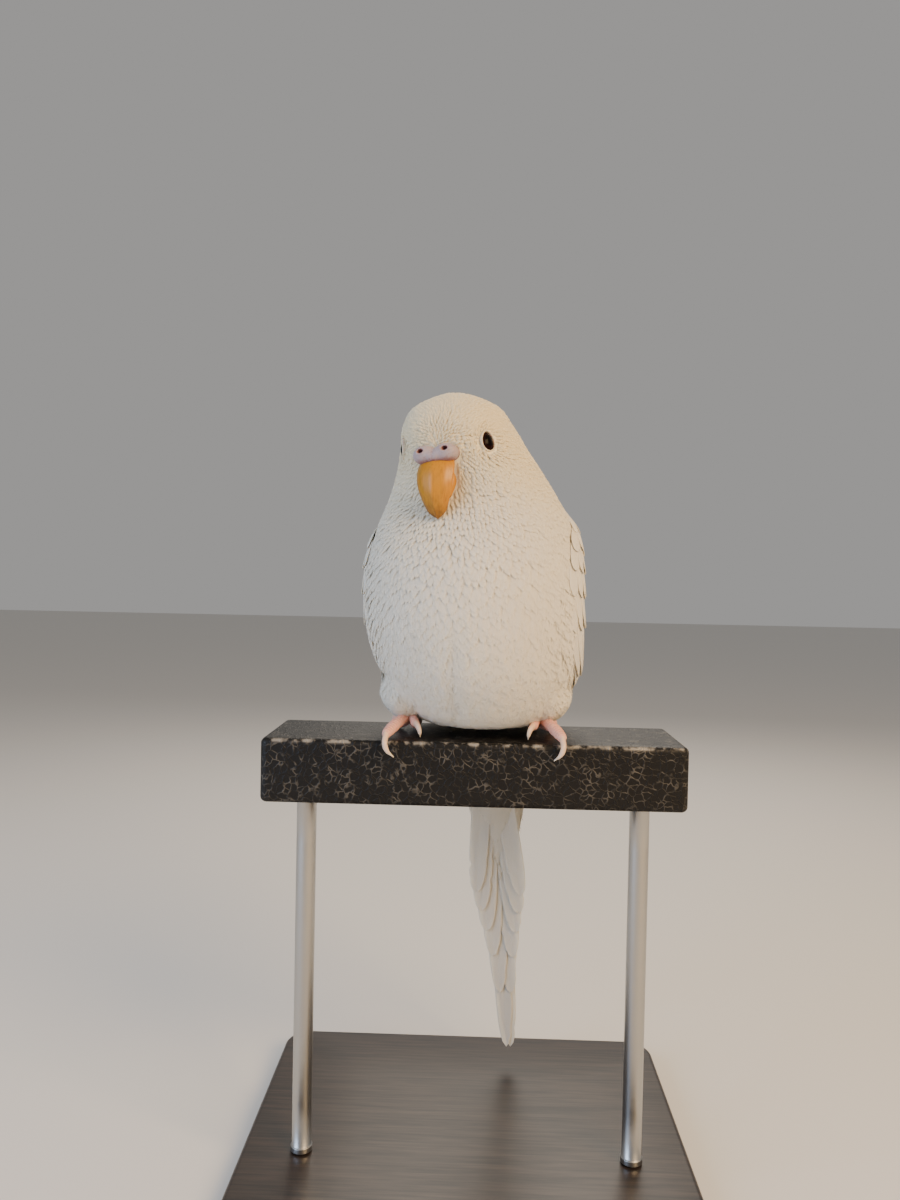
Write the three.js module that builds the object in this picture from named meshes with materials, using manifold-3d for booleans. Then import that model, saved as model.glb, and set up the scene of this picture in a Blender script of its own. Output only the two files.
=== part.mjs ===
// A life-size display model of a white budgerigar that grips a short length of rectangular rail on a plain stand.
// Millimetres, +Z up. The origin is the middle of the base's underside. The bird faces -Y and turns its head to its right.
// Heights and depths of the bird are from the rail's top face and from the bird's own upright axis.

import * as THREE from 'three';
import Module from 'manifold-3d';
import { mergeVertices } from 'three/addons/utils/BufferGeometryUtils.js';

const wasm = await Module();
wasm.setup();

// The gap kept between neighbouring pieces.
const GAP = 0.3;

// The stand: a flat base, two rods and the cut length of rail.
const BASE = { width: 104, depth: 92, height: 6, corner: 7, edge: 0.8 };
const RAIL = { length: 92, depth: 27, height: 14, corner: 1.4, edge: 1.0, top: 104 };
const ROD = { radius: 2.5, spread: 38, sides: 24 };

// Where the bird stands: its axis in plan, how far that is behind the rail's front face, and how far its body is turned.
const AXIS = { x: -0.7, y: -13, behindFront: 11, turn: 10 };

// The body as rings from the crown to the tip of the tail coverts. Each row has the ring's sideways shift, its foremost
// point (y, z), its rearmost point (y, z), its half width, how much fuller it is at the back, how square it is
// (1 is an ellipse, less is squarer) and how many degrees it is turned on the body.
const BODY = [
  { name: 'crown', row: [-4.4, -4.0, 75.6, -4.0, 75.6, 0.0, 0.0, 0.90, 11.5] },
  { name: 'forehead', row: [-4.3, -10.8, 72.6, 4.6, 73.4, 8.6, 0.04, 0.90, 11.5] },
  { name: 'brow', row: [-4.0, -14.8, 68.2, 9.4, 69.2, 11.6, 0.09, 0.88, 11.5] },
  { name: 'eye', row: [-3.0, -16.0, 63.2, 12.3, 64.2, 13.4, 0.13, 0.88, 11.5] },
  { name: 'cheek', row: [-1.7, -15.2, 58.0, 14.4, 58.6, 16.1, 0.09, 0.92, 10.0] },
  { name: 'throat', row: [-0.8, -14.6, 52.3, 17.2, 52.0, 19.4, 0.03, 1.00, 6.0] },
  { name: 'shoulder', row: [-0.3, -17.2, 46.0, 20.0, 45.0, 22.1, 0.0, 1.00, 1.5] },
  { name: 'breast', row: [-0.3, -20.2, 38.5, 22.4, 37.5, 23.1, -0.02, 1.00, 0.0] },
  { name: 'fullest', row: [-0.2, -21.4, 30.0, 24.4, 29.5, 23.2, -0.03, 1.00, 0.0] },
  { name: 'belly', row: [0.2, -20.4, 20.5, 26.2, 22.0, 22.8, -0.03, 1.00, 0.0] },
  { name: 'low belly', row: [0.8, -16.2, 10.8, 28.0, 14.5, 21.2, -0.02, 1.00, 0.0] },
  { name: 'under belly', row: [1.3, -7.4, 2.8, 29.6, 7.0, 17.6, 0.0, 1.00, 0.0] },
  { name: 'vent', row: [0.9, 7.5, 3.0, 31.0, 0.6, 11.4, 0.0, 1.00, 0.0] },
  { name: 'tail root', row: [0.5, 19.6, 0.6, 32.8, -6.0, 9.2, 0.0, 1.00, 0.0] },
  { name: 'coverts', row: [0.7, 23.5, -11.0, 35.0, -15.0, 8.2, 0.0, 1.00, 0.0] },
  { name: 'long coverts', row: [1.3, 28.8, -25.0, 37.2, -28.0, 6.2, 0.0, 1.00, 0.0] },
  { name: 'covert tip', row: [2.1, 34.8, -42.0, 34.8, -42.0, 0.0, 0.0, 1.00, 0.0] },
];
const BODY_STEP = 0.5;
const BODY_SIDES = 28;

// Thin cuts through the body: the foremost and rearmost heights of each.
const HEAD_CUT = { front: 52.6, back: 60.5 };
const NECK_CUT = { front: 45.0, back: 49.5 };
const TAIL_CUT = { front: -1.0, back: -1.0 };

// The eye: its place on the head by station and angle from the front, the ball, how much of it stands proud, and its lids.
const EYE = { station: 2.98, higher: 0.1, angle: 52.5, outward: 10, ball: 3.2, proud: 0.6, lidRing: 2.35, lidRadius: 0.38, narrow: 0.86 };

// The bill and cere stand on the head's own axis: heights, foremost and rearmost depths, and half widths from root to tip.
const UPPER_BILL = {
  z: [59.8, 57.8, 55.4, 52.9, 50.5, 48.6, 47.2],
  front: [-15.0, -16.6, -17.4, -17.5, -16.9, -16.0, -15.0],
  back: [-12.2, -13.0, -14.0, -14.3, -14.4, -14.5, -15.0],
  half: [3.7, 4.2, 4.1, 3.6, 2.8, 1.9, 0.0],
};
const LOWER_BILL = {
  z: [56.8, 54.8, 53.0, 51.4, 50.4],
  front: [-13.9, -14.5, -14.7, -14.6, -14.3],
  back: [-10.6, -10.9, -11.6, -12.6, -14.3],
  half: [3.4, 3.5, 3.0, 2.1, 0.0],
};
const CERE = { lobe: [2.75, 2.3, 2.1], spread: 2.4, y: -14.1, z: 60.9, nostril: 0.6, nostrilSpread: 2.75, nostrilZ: 61.6 };

// How far the head leans towards its right, about a point at this height.
const HEAD_LEAN = { angle: 5, z: 61 };

// The folded wing on the body's side: body station, angle of its leading edge and of its trailing edge from the side.
const WING = [
  [5.35, 10, 42],
  [6.2, -16, 66],
  [7.6, -27, 80],
  [8.8, -25, 86],
  [9.8, -10, 87],
  [10.8, 22, 87],
  [12.0, 42, 87],
  [13.6, 48, 87],
  [15.9, 60, 84],
];

// The wing's feathers: how many lie side by side, how far the wing's underside stands off the body, and how much each
// feather's edge is raised over its neighbour. away is how much further off the body the wing's tip stands.
const FEATHERS = { across: 7, start: 0.02, under: 0.62, away: 0.7, lift: 0.45 };

// The wing's tiers from the shoulder: where the tips lie, in shares of the wing's length, along the leading and the
// trailing edge, the height above the body from root to tip, how pointed the tips are, and the rows they are made in.
const TIERS = [
  { name: 'lesser coverts', tip: [0.15, 0.16], rise: [1.0, 1.9], point: 0.03, rows: 2 },
  { name: 'median coverts', tip: [0.28, 0.28], rise: [1.1, 1.9], point: 0.035, rows: 2 },
  { name: 'greater coverts', tip: [0.43, 0.42], rise: [1.1, 1.8], point: 0.04, rows: 2 },
  { name: 'secondaries', tip: [0.55, 0.68], rise: [1.0, 1.5], point: 0.05, rows: 2 },
  { name: 'primaries', tip: [1.0, 0.76], rise: [0.9, 1.1], point: 0.05, rows: 5, stepped: true },
];
const VANE = 0.6;

// The tail feathers from the middle pair outwards: depth of each tip below the rail's top, its sideways place there, and
// its half width.
const TAIL = { root: [0.3, 26.4, -5.0], lean: 11.6, swing: 0.043, layer: 0.42, startZ: -9 };
const RECTRICES = [
  { tip: 93.5, aside: 0.55, half: 2.5 },
  { tip: 77.0, aside: 1.5, half: 2.7 },
  { tip: 66.0, aside: 2.6, half: 2.8 },
  { tip: 58.5, aside: 3.8, half: 2.8 },
  { tip: 52.5, aside: 4.9, half: 2.7 },
  { tip: 47.0, aside: 5.8, half: 2.5 },
];

// The legs, set square to the rail: the foot's middle, the shank and the four toes, as points (outwards, y, z) from there.
const FOOT = { middle: 0.75, x: 14.6, y: -0.5 };
const THIGH = { at: [0.7, 0.6, 9.4], radii: [6.2, 8.0, 6.0] };
const SHANK = { path: [[0, 0.6, 4.2], [-0.5, 2.0, 8.0], [-1.2, 3.0, 13.0]], radii: [1.5, 1.3, 1.5] };
const TOES = [
  { name: 'outer_front', path: [[0, 0.4, 4.3], [1.6, -3.8, 3.6], [3.2, -7.8, 2.5], [4.1, -10.7, 1.7]], radii: [1.4, 1.15, 1.2, 1.0],
    claw: [[4.2, -11.4, 1.5], [4.3, -12.7, -0.1], [3.7, -13.0, -1.7], [2.4, -12.4, -3.0]] },
  { name: 'inner_front', path: [[0, 0.4, 4.3], [-0.9, -2.4, 3.9], [-1.6, -5.0, 3.2]], radii: [1.3, 1.0, 0.95],
    claw: [[-1.8, -5.6, 3.1], [-2.4, -6.9, 2.6], [-2.8, -7.5, 1.5], [-2.9, -7.3, 0.5]] },
  { name: 'outer_back', path: [[0, 0.4, 4.3], [1.7, 3.8, 2.0], [3.2, 7.6, 1.6], [4.0, 10.4, 1.5]], radii: [1.4, 1.1, 1.15, 0.95],
    claw: [[4.1, 11.0, 1.6], [4.3, 12.6, 1.9], [4.3, 14.2, 1.4], [4.1, 15.2, 0.5]] },
  { name: 'inner_back', path: [[0, 0.4, 4.3], [-1.0, 3.4, 2.0], [-1.4, 6.4, 1.5]], radii: [1.3, 1.1, 0.95],
    claw: [[-1.5, 7.0, 1.6], [-1.8, 8.4, 1.9], [-2.0, 9.8, 1.4], [-2.0, 10.6, 0.5]] },
];
const CLAW_RADII = [0.72, 0.66, 0.45, 0.12];

// Small helpers for numbers and points.
const vec = (x, y, z) => new THREE.Vector3(x, y, z);
const rad = THREE.MathUtils.degToRad;
const mix = THREE.MathUtils.lerp;
const range = (count) => Array.from({ length: count }, (_, i) => i);

// A smooth value through rows of numbers: a uniform Catmull-Rom curve. before and after stand past its two ends.
function smooth(rows, at, before = rows[0], after = rows[rows.length - 1]) {
  const i = Math.min(Math.max(Math.floor(at), 0), rows.length - 2);
  const t = at - i;
  const [a, b, c, d] = [rows[i - 1] ?? before, rows[i], rows[i + 1], rows[i + 2] ?? after];
  return b.map((_, k) => 0.5 * (2 * b[k] + (c[k] - a[k]) * t + (2 * a[k] - 5 * b[k] + 4 * c[k] - d[k]) * t * t
    + (3 * b[k] - a[k] - 3 * c[k] + d[k]) * t * t * t));
}

// A surface through rings of points, closed at each end by a fan to a point. thin makes both faces of a flat vane split
// alike.
function loft(rings, first, last, thin = false) {
  const sides = rings[0].length;
  const points = [...rings.flat(), first, last];
  const index = [];
  const [start, end] = [points.length - 2, points.length - 1];
  for (let i = 0; i < rings.length - 1; i++) {
    for (let j = 0; j < sides; j++) {
      const k = (j + 1) % sides;
      const [a, b, c, d] = [i * sides + j, i * sides + k, (i + 1) * sides + k, (i + 1) * sides + j];
      if (thin && j >= sides / 2) index.push(a, d, c, a, c, b);
      else index.push(a, d, b, b, d, c);
    }
  }
  for (let j = 0; j < sides; j++) {
    const k = (j + 1) % sides;
    const low = (rings.length - 1) * sides;
    index.push(start, j, k, end, low + k, low + j);
  }
  return new THREE.BufferGeometry().setFromPoints(points).setIndex(index);
}

const middle = (ring) => ring.reduce((sum, p) => sum.add(p), vec(0, 0, 0)).divideScalar(ring.length);

// A solid from a closed geometry, with its faces turned outwards.
function solid(geometry) {
  const bare = geometry.clone();
  bare.deleteAttribute('normal');
  bare.deleteAttribute('uv');
  const merged = mergeVertices(bare, 1e-4);
  const faces = range(merged.index.count / 3).map((i) => Array.from(merged.index.array.slice(3 * i, 3 * i + 3)));
  const kept = faces.filter(([a, b, c]) => a !== b && b !== c && c !== a).flat();
  const build = (triVerts) =>
    new wasm.Manifold(new wasm.Mesh({ numProp: 3, vertProperties: merged.attributes.position.array, triVerts }));
  const made = build(new Uint32Array(kept));
  return made.volume() < 0 ? build(new Uint32Array(kept).reverse()) : made;
}

const join = (solids) => solids.reduce((sum, piece) => sum.add(piece));
const cut = (piece, tools) => tools.reduce((left, tool) => left.subtract(tool), piece);

// The largest closed surface of a solid.
const largest = (piece) => piece.decompose().reduce((best, one) => (one.volume() > best.volume() ? one : best));

// A solid's surface as a geometry.
function geometryOf(piece) {
  const mesh = piece.getMesh();
  return new THREE.BufferGeometry()
    .setAttribute('position', new THREE.BufferAttribute(new Float32Array(mesh.vertProperties), 3))
    .setIndex(new THREE.BufferAttribute(new Uint32Array(mesh.triVerts), 1));
}

// A round tube along a list of points with a radius at each, with rounded ends.
function tube(points, radii, sides, steps, grow = 0) {
  const curve = new THREE.CatmullRomCurve3(points, false, 'catmullrom', 0.5);
  const frames = curve.computeFrenetFrames(steps, false);
  const rows = radii.map((r) => [r]);
  const radiusAt = (t) => smooth(rows, t * (radii.length - 1))[0] + grow;
  const ring = (at, i, radius) => range(sides).map((j) => {
    const a = (2 * Math.PI * j) / sides;
    return at.clone().addScaledVector(frames.normals[i], Math.cos(a) * radius)
      .addScaledVector(frames.binormals[i], Math.sin(a) * radius);
  });
  const along = range(steps + 1).map((i) => curve.getPointAt(i / steps));
  const rings = along.map((at, i) => ring(at, i, radiusAt(i / steps)));
  const cap = (i, sign) => {
    const radius = radiusAt(i / steps);
    const out = frames.tangents[i].clone().multiplyScalar(sign);
    return {
      ring: ring(along[i].clone().addScaledVector(out, 0.55 * radius), i, 0.75 * radius),
      pole: along[i].clone().addScaledVector(out, 0.85 * radius),
    };
  };
  const [front, back] = [cap(0, -1), cap(steps, 1)];
  return loft([front.ring, ...rings, back.ring], front.pole, back.pole);
}

// An ellipsoid at a point.
function ellipsoid(at, radii, across = 20, down = 14) {
  return new THREE.SphereGeometry(1, across, down).rotateX(Math.PI / 2).scale(...radii).translate(...at);
}

// The body's ring at a station, by name of what its numbers are.
const mirrored = ([x, fy, fz, by, bz, half, egg, square, turn]) => [x, by, bz, fy, fz, -half, egg, square, turn];
const BODY_ROWS = BODY.map((ring) => ring.row);
const LAST = BODY_ROWS.length - 1;
const stationRow = (s) => smooth(BODY_ROWS, s, mirrored(BODY_ROWS[1]), mirrored(BODY_ROWS[LAST - 1]));

// A number raised to a power with its sign kept.
const signedPower = (value, power) => Math.sign(value) * Math.abs(value) ** power;

// A point of the body's surface: a ring's superellipse, between its foremost and rearmost points, turned on the upright.
// The angle is in degrees: 0 at the bird's left side, 90 at the back, 180 at its right side and 270 at the front.
function skin(s, degrees) {
  const [x, fy, fz, by, bz, half, egg, square, turn] = stationRow(s);
  const [c, d] = [Math.cos(rad(degrees)), Math.sin(rad(degrees))];
  const aside = half * signedPower(c, square) * (1 + egg * d);
  const depth = signedPower(d, square);
  const [dx, dy] = [aside, (depth * (by - fy)) / 2];
  const [ct, st] = [Math.cos(rad(turn)), Math.sin(rad(turn))];
  return vec(x + dx * ct + dy * st, (fy + by) / 2 - dx * st + dy * ct, (fz + bz) / 2 + (depth * (bz - fz)) / 2);
}

// The outward direction of the body's surface, from points a little either side.
function outward(s, degrees) {
  const e = 0.02;
  const [low, high] = [Math.max(s - e, 0.01), Math.min(s + e, LAST - 0.01)];
  const down = skin(high, degrees).sub(skin(low, degrees));
  const round = skin(s, degrees + 1).sub(skin(s, degrees - 1));
  return down.cross(round).normalize();
}

const above = (s, degrees, height) => skin(s, degrees).addScaledVector(outward(s, degrees), height);

// The whole body, from the crown to the tip of the tail coverts, grown outwards by a little where a neighbour is cut.
function bodySolid(grow = 0) {
  const stations = range(Math.round(LAST / BODY_STEP) - 1).map((i) => (i + 1) * BODY_STEP);
  const angles = range(BODY_SIDES).map((j) => (360 * j) / BODY_SIDES);
  const rings = stations.map((s) => angles.map((a) => above(s, a, grow)));
  const [crown, tip] = [skin(0, 0), skin(LAST, 0)];
  return solid(loft(rings, crown.clone().setZ(crown.z + grow), tip.clone().setZ(tip.z - grow)));
}

// Splits a solid by a thin slanted cut, given by its heights at the front and at the back of a depth of 30 mm.
const CUT_DEPTH = 30;
function slanted({ front, back }) {
  const slope = Math.atan2(back - front, CUT_DEPTH);
  const normal = [0, -Math.sin(slope), Math.cos(slope)];
  const through = [0, -CUT_DEPTH / 2, front];
  const offset = normal[1] * through[1] + normal[2] * through[2];
  return { normal, offset };
}
const upperPart = (piece, { normal, offset }) => piece.trimByPlane(normal, offset + GAP / 2);
const lowerPart = (piece, { normal, offset }) => piece.trimByPlane(normal.map((n) => -n), GAP / 2 - offset);

// The head's own frame: the head's axis at eye height, turned as the head is.
const [headX, headFront, , headBack, , , , , headTurn] = BODY_ROWS[3];
const HEAD_FRAME = new THREE.Matrix4()
  .makeTranslation(headX, (headFront + headBack) / 2, 0)
  .multiply(new THREE.Matrix4().makeRotationZ(-rad(headTurn)))
  .multiply(new THREE.Matrix4().makeTranslation(0, 0, HEAD_LEAN.z))
  .multiply(new THREE.Matrix4().makeRotationY(-rad(HEAD_LEAN.angle)))
  .multiply(new THREE.Matrix4().makeTranslation(0, 0, -HEAD_LEAN.z));
const onHead = (geometry) => geometry.applyMatrix4(HEAD_FRAME);

// One half of the bill: rings across it from root to tip, round in front and flatter behind.
function billSolid({ z, front, back, half }, grow = 0) {
  const rows = z.map((_, i) => [z[i], front[i], back[i], half[i]]);
  const last = rows.length - 1;
  const steps = 2 * last;
  const rings = range(steps).map((i) => {
    const [height, fore, rear, wide] = smooth(rows, i / 2);
    const centre = mix(fore, rear, 0.6);
    return range(12).map((j) => {
      const a = (2 * Math.PI * j) / 12;
      const reach = Math.sin(a) > 0 ? rear - centre : centre - fore;
      return vec((wide + grow) * Math.cos(a), centre + (reach + grow) * Math.sin(a), height + (i === 0 ? grow : 0));
    });
  });
  const tip = vec(0, (front[last] + back[last]) / 2, z[last] - grow);
  return solid(onHead(loft(rings, middle(rings[0]), tip)));
}

// The cere: two swollen lobes with a bridge between them.
function cereSolid(grow = 0) {
  const lobe = (side) => ellipsoid([side * CERE.spread, CERE.y, CERE.z], CERE.lobe.map((r) => r + grow), 12, 8);
  const bridge = ellipsoid([0, CERE.y - 0.3, CERE.z - 0.5], [2.4 + grow, 2.0 + grow, 1.7 + grow], 10, 6);
  return join([lobe(-1), lobe(1), bridge].map((g) => solid(onHead(g))));
}

// The eyeball's middle and the way it looks, for the bird's left (1) or right (-1).
function eyePlace(side) {
  const [station, angle] = [EYE.station - side * EYE.higher, 270 + side * EYE.angle];
  const surface = skin(station, angle);
  const look = outward(station, angle).applyAxisAngle(vec(0, 0, 1), side * rad(EYE.outward));
  return { surface, look, centre: surface.clone().addScaledVector(look, EYE.proud - EYE.ball) };
}

function eyeSolid(side, grow = 0) {
  const { centre } = eyePlace(side);
  return solid(ellipsoid(centre.toArray(), range(3).map(() => EYE.ball + grow), 16, 11));
}

// The bare rim of the lids: a ring round the part of the ball that shows.
function lidSolid(side) {
  const { surface, look } = eyePlace(side);
  const aside = vec(0, 0, 1).cross(look).normalize();
  const turn = new THREE.Matrix4().makeBasis(aside, look.clone().cross(aside), look);
  const ring = new THREE.TorusGeometry(EYE.lidRing, EYE.lidRadius, 5, 16).scale(EYE.narrow, 1, 1).applyMatrix4(turn);
  return solid(ring.translate(...surface.clone().addScaledVector(look, 0.12).toArray()));
}

// A feather vane along a line of points with a side and an up direction at each: a flat ring of four points at each,
// tipped so that its edge on the side of -1 lies above its neighbour.
const OUTLINE = { 2: [0.65, 1.0, 0.5], 3: [0.6, 0.95, 0.95, 0.42], 4: [0.6, 0.92, 1.0, 0.86, 0.36], 5: [0.55, 0.85, 1.0, 0.95, 0.72, 0.3] };
function vane(line, half, { grow = 0, tip = 0.25, thick = VANE } = {}) {
  const outline = OUTLINE[line.length - 1];
  const rings = line.map(({ at, side, up }, i) => {
    const wide = half * outline[i] + grow;
    const point = (k, face) => at.clone().addScaledVector(side, k * wide)
      .addScaledVector(up, face * (thick / 2 + grow) - tip * k);
    return [point(-1, 1), point(1, 1), point(1, -1), point(-1, -1)];
  });
  return solid(loft(rings, middle(rings[0]), middle(rings[rings.length - 1]), true));
}

// The line of a feather that lies on a surface: place(a, b, height) gives a point and up direction there.
function featherLine(place, from, to, rise, parts, sideways) {
  const spots = range(parts + 1).map((i) => {
    const t = i / parts;
    return place(mix(from[0], to[0], t), mix(from[1], to[1], t), mix(rise[0], rise[1], t));
  });
  return spots.map(({ at, up }, i) => {
    const ahead = spots[Math.min(i + 1, parts)].at.clone().sub(spots[Math.max(i - 1, 0)].at).normalize();
    const side = ahead.clone().cross(up).normalize().multiplyScalar(sideways);
    return { at, side, up: side.clone().cross(ahead).normalize().multiplyScalar(sideways) };
  });
}

// A place on the folded wing: share of its length, share of its width from the leading edge, and height above the body.
const WING_START = WING[0][0];
const WING_END = WING[WING.length - 1][0];
function wingPlace(side) {
  return (u, v, height) => {
    const s = mix(WING_START, WING_END, u);
    const row = WING.findIndex((entry, i) => i === WING.length - 2 || WING[i + 1][0] >= s);
    const share = (s - WING[row][0]) / (WING[row + 1][0] - WING[row][0]);
    const [, lead, trail] = smooth(WING, row + share);
    const angle = mix(lead, trail, v);
    const degrees = side > 0 ? angle : 180 - angle;
    return { at: above(s, degrees, height), up: outward(s, degrees) };
  };
}

// A wing as one closed sheet of overlapping feathers. Across each tier a feather slopes from its raised edge down to the
// edge that the next one covers, its end is pointed, and it drops to the root of the tier that it covers. Every other
// tier is set over by half a feather.
function wingSolid(side) {
  const place = wingPlace(side);
  const { across, start, under, away, lift } = FEATHERS;
  const halves = range(2 * across + 1).map((m) => m / 2);
  const columns = halves.flatMap((at) => [{ at, way: -1 }, { at, way: 1 }]).slice(1, -1);
  const within = ({ at, way }, tier) => {
    const shifted = at - (tier % 2) / 2;
    const feather = Math.floor(shifted + 1e-6 * way);
    return { feather, part: shifted - feather };
  };
  const tipOf = (column, tier) => {
    const { tip, point, stepped } = TIERS[tier];
    const { feather, part } = within(column, tier);
    const share = stepped ? Math.min(Math.max((feather + 0.5) / across, 0), 1) : column.at / across;
    return mix(tip[0], tip[1], share) - point * Math.abs(2 * part - 1);
  };
  const rings = TIERS.flatMap(({ rise, rows }, tier) => range(rows + 1).map((i) => {
    const t = i / rows;
    const spot = (column) => {
      const root = tier === 0 ? start : tipOf(column, tier - 1);
      const raised = lift * (1 - within(column, tier).part) * (0.5 + 0.5 * t);
      return { u: mix(root, tipOf(column, tier), t), v: column.at / across, height: mix(rise[0], rise[1], t) + raised };
    };
    const spots = columns.map(spot);
    const top = spots.map(({ u, v, height }) => place(u, v, height + away * u * u).at);
    return [...top, ...spots.map(({ u, v }) => place(u, v, under + away * u * u).at).reverse()];
  }));
  return solid(sheet(rings, columns.length));
}

// A closed sheet from rings that run over its top and back along its underside, with both faces split alike.
function sheet(rings, width) {
  const sides = 2 * width;
  const index = [];
  for (let i = 0; i < rings.length - 1; i++) {
    for (let j = 0; j < sides; j++) {
      const k = (j + 1) % sides;
      const [a, b, c, d] = [i * sides + j, i * sides + k, (i + 1) * sides + k, (i + 1) * sides + j];
      if (j >= width) index.push(a, d, c, a, c, b);
      else index.push(a, d, b, b, d, c);
    }
  }
  const last = (rings.length - 1) * sides;
  for (let j = 0; j < width - 1; j++) {
    const [a, b, c, d] = [j, j + 1, sides - 2 - j, sides - 1 - j];
    index.push(a, b, c, a, c, d, last + a, last + c, last + b, last + a, last + d, last + c);
  }
  return new THREE.BufferGeometry().setFromPoints(rings.flat()).setIndex(index);
}

// A place on the tail: depth below the rail's top, sideways place and layer towards the back.
function tailPlace(drop, aside, lift) {
  const [x, y, z] = TAIL.root;
  const along = drop + z;
  const swing = TAIL.swing * along;
  const [c, s] = [Math.cos(rad(TAIL.lean)), Math.sin(rad(TAIL.lean))];
  return { at: vec(x + aside + swing, y + along * Math.tan(rad(TAIL.lean)) + lift * c, -drop + lift * s), up: vec(0, c, s) };
}

// The six pairs of tail feathers, the middle pair longest and furthest back, each pair a layer in front of the last.
function rectrixVanes(grow = 0) {
  return RECTRICES.flatMap(({ tip, aside, half }, k) => [-1, 1].map((side) => {
    const layer = TAIL.layer * (1.6 - k + (side > 0 ? 0.5 : 0));
    const line = featherLine(tailPlace, [-TAIL.startZ, side * 0.3 * k], [tip, side * aside], [layer, layer], 5, -1);
    return vane(line, half, { grow, tip: 0 });
  }));
}

// Under-tail coverts: two tiers on the front of the tail's root.
const UNDER_COVERTS = [
  { count: 3, from: 13.5, to: 14.8, spread: 38, rise: [-0.3, 0.5], half: 3.4 },
  { count: 2, from: 14.3, to: 15.6, spread: 24, rise: [-0.3, 0.5], half: 3.0 },
];
function underCoverts(grow = 0) {
  const place = (s, degrees, height) => ({ at: above(s, degrees, height), up: outward(s, degrees) });
  return UNDER_COVERTS.flatMap(({ count, from, to, spread, rise, half }) => range(count).map((k) => {
    const aside = spread * (k / (count - 1) - 0.5) * 2;
    const line = featherLine(place, [from, 270 + aside], [to, 270 + 0.8 * aside], rise, 2, 1);
    return vane(line, half, { grow, tip: 0 });
  }));
}

// The legs: thigh, and shank and toes as one, set square to the rail and then turned back into the bird's own frame.
const TO_BIRD = new THREE.Matrix4().makeRotationZ(rad(AXIS.turn));
const footPoint = (side, [out, y, z]) => vec(FOOT.middle + side * (FOOT.x + out), FOOT.y + y, z);
const footPath = (side, path) => path.map((p) => footPoint(side, p));
const inBird = (geometry) => solid(geometry.applyMatrix4(TO_BIRD));

const thighSolid = (side, grow = 0) =>
  inBird(ellipsoid(footPoint(side, THIGH.at).toArray(), THIGH.radii.map((r) => r + grow), 18, 12));
function legSolid(side, grow = 0) {
  const shank = tube(footPath(side, SHANK.path), SHANK.radii, 7, 3, grow);
  const toes = TOES.map(({ path, radii }) => tube(footPath(side, path), radii, 7, 2 * path.length - 2, grow));
  return join([shank, ...toes].map(inBird));
}
const clawSolid = (side, { claw }) => inBird(tube(footPath(side, claw), CLAW_RADII, 6, 5));

// A slab with rounded corners in plan and a small bevel along its edges, standing on z = 0.
function slab(width, depth, height, corner, edge) {
  const [w, d, r] = [width / 2 - edge, depth / 2 - edge, Math.max(corner - edge, 0.01)];
  const outline = new THREE.Shape();
  outline.moveTo(-w + r, -d).lineTo(w - r, -d).absarc(w - r, -d + r, r, -Math.PI / 2, 0)
    .lineTo(w, d - r).absarc(w - r, d - r, r, 0, Math.PI / 2)
    .lineTo(-w + r, d).absarc(-w + r, d - r, r, Math.PI / 2, Math.PI)
    .lineTo(-w, -d + r).absarc(-w + r, -d + r, r, Math.PI, 1.5 * Math.PI);
  return new THREE.ExtrudeGeometry(outline, {
    depth: height - 2 * edge, bevelThickness: edge, bevelSize: edge, bevelSegments: 1, curveSegments: 4,
  }).translate(0, 0, edge);
}

// The finishes.
const finish = (color, roughness, metalness = 0) => new THREE.MeshStandardMaterial({ color, roughness, metalness });
const PLUMAGE = finish(0xefe9d6, 0.85);
const HORN = finish(0xd89a2e, 0.4);
const CERE_SKIN = finish(0xe3cfd2, 0.6);
const EYE_BALL = finish(0x1a0d0b, 0.08);
const LEG_SKIN = finish(0xdba796, 0.6);
const CLAW_HORN = finish(0xe2c8ae, 0.45);
const RAIL_PAINT = finish(0x2a2928, 0.45, 0.2);
const ROD_STEEL = finish(0x9b9b9b, 0.35, 1.0);
const BASE_WOOD = finish(0x2b2320, 0.5);

const meshes = [];
function add(group, name, geometry, material) {
  const mesh = new THREE.Mesh(geometry, material);
  mesh.name = name;
  group.add(mesh);
  meshes.push(mesh);
  return mesh;
}

const model = new THREE.Group();

// The stand, in the part's own frame.
const railFront = AXIS.y - AXIS.behindFront;
const railMiddle = railFront + RAIL.depth / 2;
add(model, 'stand_base', slab(BASE.width, BASE.depth, BASE.height, BASE.corner, BASE.edge), BASE_WOOD);
const rail = slab(RAIL.length, RAIL.depth, RAIL.height, RAIL.corner, RAIL.edge);
add(model, 'stand_perch', rail, RAIL_PAINT).position.set(0, railMiddle, RAIL.top - RAIL.height);
for (const [name, side] of [['stand_rod_right', -1], ['stand_rod_left', 1]]) {
  const length = RAIL.top - RAIL.height - BASE.height - 2 * GAP;
  const rod = new THREE.CylinderGeometry(ROD.radius, ROD.radius, length, ROD.sides).rotateX(Math.PI / 2);
  add(model, name, rod, ROD_STEEL).position.set(side * ROD.spread, railMiddle, BASE.height + GAP + length / 2);
}

// The bird, in its own frame.
const bird = new THREE.Group();
bird.position.set(AXIS.x, AXIS.y, RAIL.top);
bird.rotation.z = -rad(AXIS.turn);
model.add(bird);

const SIDES = [['right', -1], ['left', 1]];
const bodyClear = bodySolid(GAP);
const faceClear = [cereSolid(GAP), billSolid(UPPER_BILL, GAP), billSolid(LOWER_BILL, GAP)];
const whole = cut(bodySolid(), faceClear);
const [headPlane, neckPlane, tailCut] = [HEAD_CUT, NECK_CUT, TAIL_CUT].map(slanted);

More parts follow.
